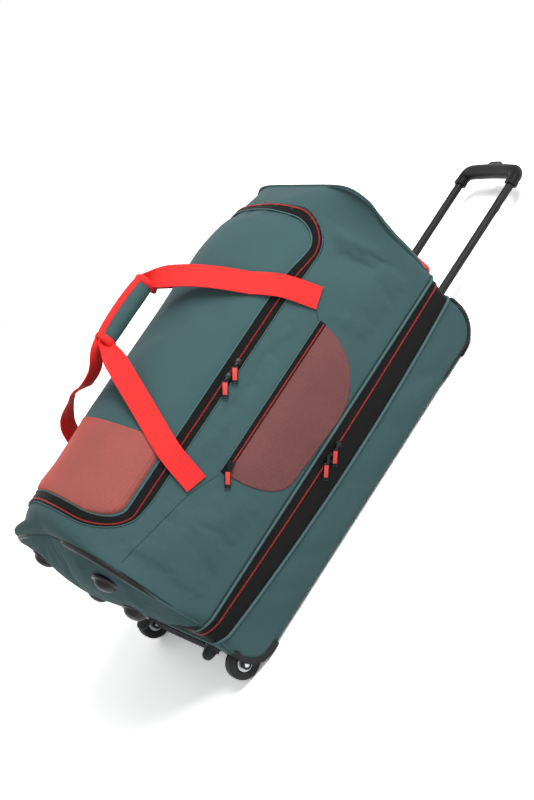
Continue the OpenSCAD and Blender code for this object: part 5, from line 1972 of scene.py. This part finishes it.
@dataclass
class GrabHandle:
    """Webbing handle across the handle end."""

    half: float = 166.0
    reach: float = 25.0
    z: float = 144.0
    width: float = 38.0
    thickness: float = 2.4

    def build(self) -> None:
        """Builds the handle."""

        def shape(u: float, v: float) -> Vector:
            """Point on the webbing, bent in to the panel at its ends."""
            y = self.half * math.sin(math.pi / 2 * (2 * u - 1))
            x = FORM.length + self.reach * (1 - abs(y / self.half) ** 12)
            seat = FORM.length + FORM.lean(FORM.length, y, self.z - FORM.deck_z) + 1.5
            return Vector((max(x, seat), y, self.z + self.width * (v - 0.5)))

        bm = thicken(face_out(sheet((90, 8), (340.0, self.width), shape)), self.thickness)
        bmesh.ops.recalc_face_normals(bm, faces=bm.faces)
        settle(bm, "grab_webbing", RED_WEBBING, Body.DECK, ("grab_handle",), sharp=50)


@dataclass
class ZipHardware:
    """Sliders and their pullers: a cast body with two lugs, and a framed puller with a red insert."""

    slider: Triple = (13.0, 10.0, 2.5)
    pin_h: float = 5.0
    pin_x: float = 2.4
    puller: Triple = (34.0, 10.0, 2.4)
    neck: float = 7.5
    turn: float = math.radians(34)
    zips: dict[str, tuple[float, float, float, float, float]] = field(
        default_factory=lambda: {
            "lid_{}_a": (378.0, -138.0, 311.698, 58.1931, 0.4),
            "lid_{}_b": (350.0, -138.0, 311.698, 58.1931, 0.4),
            "pocket_{}": (235.0, -169.988, 240.0, 73.0556, 2.3),
            "deck_{}_a": (366.0, -186.0, 110.0, 90.0, 0.4),
            "deck_{}_b": (339.0, -186.0, 110.0, 90.0, 0.4),
        }
    )

    def build(self) -> None:
        """Builds each slider with its puller at its place on a zip."""
        for name, (x, y, z, tilt, lift) in self.zips.items():
            spot = (
                Matrix.Translation((x, y, z))
                @ Matrix.Rotation(math.radians(tilt), 4, "X")
                @ Matrix.Translation((0, 0, lift))
                @ Matrix.Rotation(math.pi, 4, "Z")
            )
            self._slider(name, spot)
            self._puller(name, spot)

    @staticmethod
    def _block(bm: BMesh, spot: Matrix, low: Sequence[float], high: Sequence[float], edge: float) -> None:
        """Adds a round-edged block.

        Args:
            bm: Mesh to add to.
            spot: Place of the block's frame.
            low: Lowest corner.
            high: Highest corner.
            edge: Radius of its edges.
        """
        middle = [(a + b) / 2 for a, b in zip(low, high)]
        size = [b - a for a, b in zip(low, high)]
        seat = spot @ Matrix.Translation(middle) @ Matrix.Diagonal((*size, 1.0))
        made = bmesh.ops.create_cube(bm, size=1.0, matrix=seat)
        edges = list({e for v in made["verts"] for e in v.link_edges})
        bmesh.ops.bevel(
            bm, geom=edges, offset=edge, affect="EDGES", segments=2, profile=0.5, material=-1, clamp_overlap=True
        )

    @staticmethod
    def _to_frame(bm: BMesh) -> BMesh:
        """Moves a mesh from millimetres into the frame."""
        bmesh.ops.transform(bm, matrix=TO_FRAME, verts=bm.verts)
        return bm

    def _slider(self, name: str, spot: Matrix) -> None:
        """Cast slider body with the two lugs that hold the puller's pin."""
        long, wide, high = self.slider
        bm = bmesh.new()
        self._block(bm, spot, (-long / 2, -wide / 2, 0), (long / 2, wide / 2, high), 0.9)
        for s in (-1, 1):
            top = (2 * self.pin_x, s * 4 + 1, self.pin_h + self.pin_x)
            self._block(bm, spot, (0, s * 4 - 1, high - 0.5), top, 0.7)
        node = name.format("slider")
        settle(self._to_frame(bm), f"{node}_cast", ZIP_METAL, node, (node,), sharp=40)

    def _puller(self, name: str, spot: Matrix) -> None:
        """Puller with its pin and neck, a frame round a red insert, and a loop at its tip."""
        long, wide, thick = self.puller
        node = name.format("puller")
        hang = spot @ Matrix.Translation((self.pin_x, 0, self.pin_h))
        plate = hang @ Matrix.Translation((self.neck, 0, 0)) @ Matrix.Rotation(self.turn, 4, "Z")
        reach = long - self.neck
        bm = bmesh.new()
        self._block(bm, hang, (-1.1, -4.5, -1.1), (1.1, 4.5, 1.1), 0.8)
        self._block(bm, hang, (0, -2.5, -thick / 2), (self.neck, 2.5, thick / 2), 0.6)
        rail = 1.7
        for s in (-1, 1):
            mid = s * (wide - rail) / 2
            self._block(bm, plate, (-0.9, mid - rail / 2, -thick / 2), (reach, mid + rail / 2, thick / 2), 0.6)
        for x in (0.4, reach - 5.6, reach - rail):
            self._block(bm, plate, (x, -wide / 2 + 0.4, -thick / 2), (x + rail, wide / 2 - 0.4, thick / 2), 0.6)
        settle(self._to_frame(bm), f"{node}_frame", ZIP_METAL, node, (node,), sharp=40)
        bm = bmesh.new()
        top = (reach - 5.0, wide / 2 - 1.2, thick / 2 + 0.5)
        self._block(bm, plate, (1.6, -wide / 2 + 1.2, -thick / 2 - 0.5), top, 0.9)
        settle(self._to_frame(bm), f"{node}_insert", PULLER_RED, node, sharp=40)


@dataclass
class HardParts:
    """Moulded and metal nodes of the frame, which keep their shape and get their finish."""

    finishes: dict[Solid, tuple[str, ...]] = field(default_factory=lambda: NODE_FINISHES)

    def dress(self) -> None:
        """Gives each node its material."""
        for finish, nodes in self.finishes.items():
            for name in nodes:
                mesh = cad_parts[name].data
                mesh.materials.clear()
                mesh.materials.append(finish.material())
            LOG.info("%s: %s", finish.name, ", ".join(nodes))


@dataclass
class Studio:
    """Pale floor, soft light and the camera."""

    from_axles: Triple = (-0.2732244661503115, -2.8316365128170906, 1.5825224074476072)
    right: Triple = (0.5388502559524293, -0.47528855148152693, -0.6955150569833796)
    up: Triple = (0.8168099227658822, 0.09282554822965855, 0.5693899961072879)
    forward: Triple = (0.20606298001144063, 0.874919545116267, -0.43823947544960995)
    lens: float = 87.5900608
    sensor: float = 36.0
    floor_half: float = 3.5
    floor_grey: str = "#cfcfcf"
    floor_white: float = 2.2
    # metres from the bag over which the floor goes over into plain white
    fade: Pair = (1.0, 1.8)
    glow: float = 0.31
    aim: Triple = (0.0, 0.0, 0.2)
    lamps: tuple[tuple[str, Triple, float, float], ...] = (
        ("key", (1.3, -1.5, 2.3), 68.0, 1.6),
        ("fill", (-1.8, -2.2, 1.8), 13.0, 2.0),
        ("back", (-0.3, 2.8, 1.3), 18.0, 2.0),
    )

    def build(self) -> None:
        """Builds the stage in order."""
        self._camera()
        self._floor()
        self._lights()
        bpy.context.scene.view_settings.view_transform = "Standard"

    def _camera(self) -> None:
        """Camera at the photograph's viewing angle."""
        data = bpy.data.cameras.new("camera")
        data.sensor_width, data.lens, data.sensor_fit = self.sensor, self.lens, "AUTO"
        camera = bpy.data.objects.new("camera", data)
        bpy.context.scene.collection.objects.link(camera)
        back = -Vector(self.forward)
        turn = Matrix((self.right, self.up, back)).transposed().to_4x4()
        camera.matrix_world = Matrix.Translation(Vector(self.from_axles) + Vector((AXLE_X, 0, 0))) @ turn
        bpy.context.scene.camera = camera

    @staticmethod
    def _seen(tree: NodeTree) -> NodeSocket:
        """Gives 1 where the stage is seen by the camera, in a reflection or through something clear."""
        rays = add_node(tree, "ShaderNodeLightPath").outputs
        seen = rays["Is Camera Ray"]
        for kind in ("Is Glossy Ray", "Is Transmission Ray"):
            seen = add_node(tree, "ShaderNodeMath", {0: seen, 1: rays[kind]}, operation="MAXIMUM").outputs[0]
        return seen

    def _floor(self) -> None:
        """Plain pale floor that keeps the bag's shadow, reads white to the camera and is all white further off."""
        bm = bmesh.new()
        bmesh.ops.create_grid(bm, x_segments=1, y_segments=1, size=self.floor_half)
        mesh = bpy.data.meshes.new("floor")
        bm.to_mesh(mesh)
        bm.free()
        material, tree = blank_material("white_studio_paper")
        tones = {0: self._seen(tree), 6: linear(self.floor_grey), 7: (self.floor_white,) * 3 + (1.0,)}
        tone = add_node(tree, "ShaderNodeMix", tones, data_type="RGBA").outputs[2]
        paper = add_node(tree, "ShaderNodeBsdfDiffuse", {"Color": tone}).outputs[0]
        spot = add_node(tree, "ShaderNodeTexCoord").outputs["Object"]
        away = add_node(tree, "ShaderNodeVectorMath", {0: spot}, operation="LENGTH").outputs["Value"]
        near, far = self.fade
        share = add_node(tree, "ShaderNodeMapRange", {"Value": away, "From Min": near, "From Max": far}).outputs[0]
        share = add_node(tree, "ShaderNodeMath", {0: self._seen(tree), 1: share}, operation="MULTIPLY").outputs[0]
        white = add_node(tree, "ShaderNodeEmission", {"Color": (1, 1, 1, 1), "Strength": 1.0}).outputs[0]
        both = add_node(tree, "ShaderNodeMixShader", {0: share, 1: paper, 2: white})
        add_node(tree, "ShaderNodeOutputMaterial", {"Surface": both.outputs[0]})
        mesh.materials.append(material)
        floor = bpy.data.objects.new("floor", mesh)
        bpy.context.scene.collection.objects.link(floor)

    def _lights(self) -> None:
        """Pale surroundings, a broad lamp over the handle end, and weaker ones over the wheels and behind."""
        world = bpy.data.worlds.new("studio")
        bpy.context.scene.world = world
        world.use_nodes = True
        world.node_tree.nodes.clear()
        tree = world.node_tree
        strength = add_node(tree, "ShaderNodeMapRange", {"Value": self._seen(tree), "To Min": self.glow}).outputs[0]
        glow = add_node(tree, "ShaderNodeBackground", {"Color": (1, 1, 1, 1), "Strength": strength})
        add_node(tree, "ShaderNodeOutputWorld", {"Surface": glow.outputs[0]})
        for name, spot, watts, size in self.lamps:
            lamp = bpy.data.lights.new(name, "AREA")
            lamp.energy, lamp.size = watts, size
            light = bpy.data.objects.new(name, lamp)
            bpy.context.scene.collection.objects.link(light)
            aim = Vector(self.aim) - Vector(spot)
            light.matrix_world = Matrix.Translation(spot) @ aim.to_track_quat("-Z", "Y").to_matrix().to_4x4()


def main() -> None:
    """Builds the stage and the bag's pieces."""
    logging.basicConfig(level=logging.INFO, format="%(message)s")
    Studio().build()
    HardParts().dress()
    for part in (UpperDeck, LidZip, SidePocket, ZipGusset, BaseTub, CarryStraps, GrabHandle, ZipHardware):
        part().build()


if __name__ == "__main__":
    main()
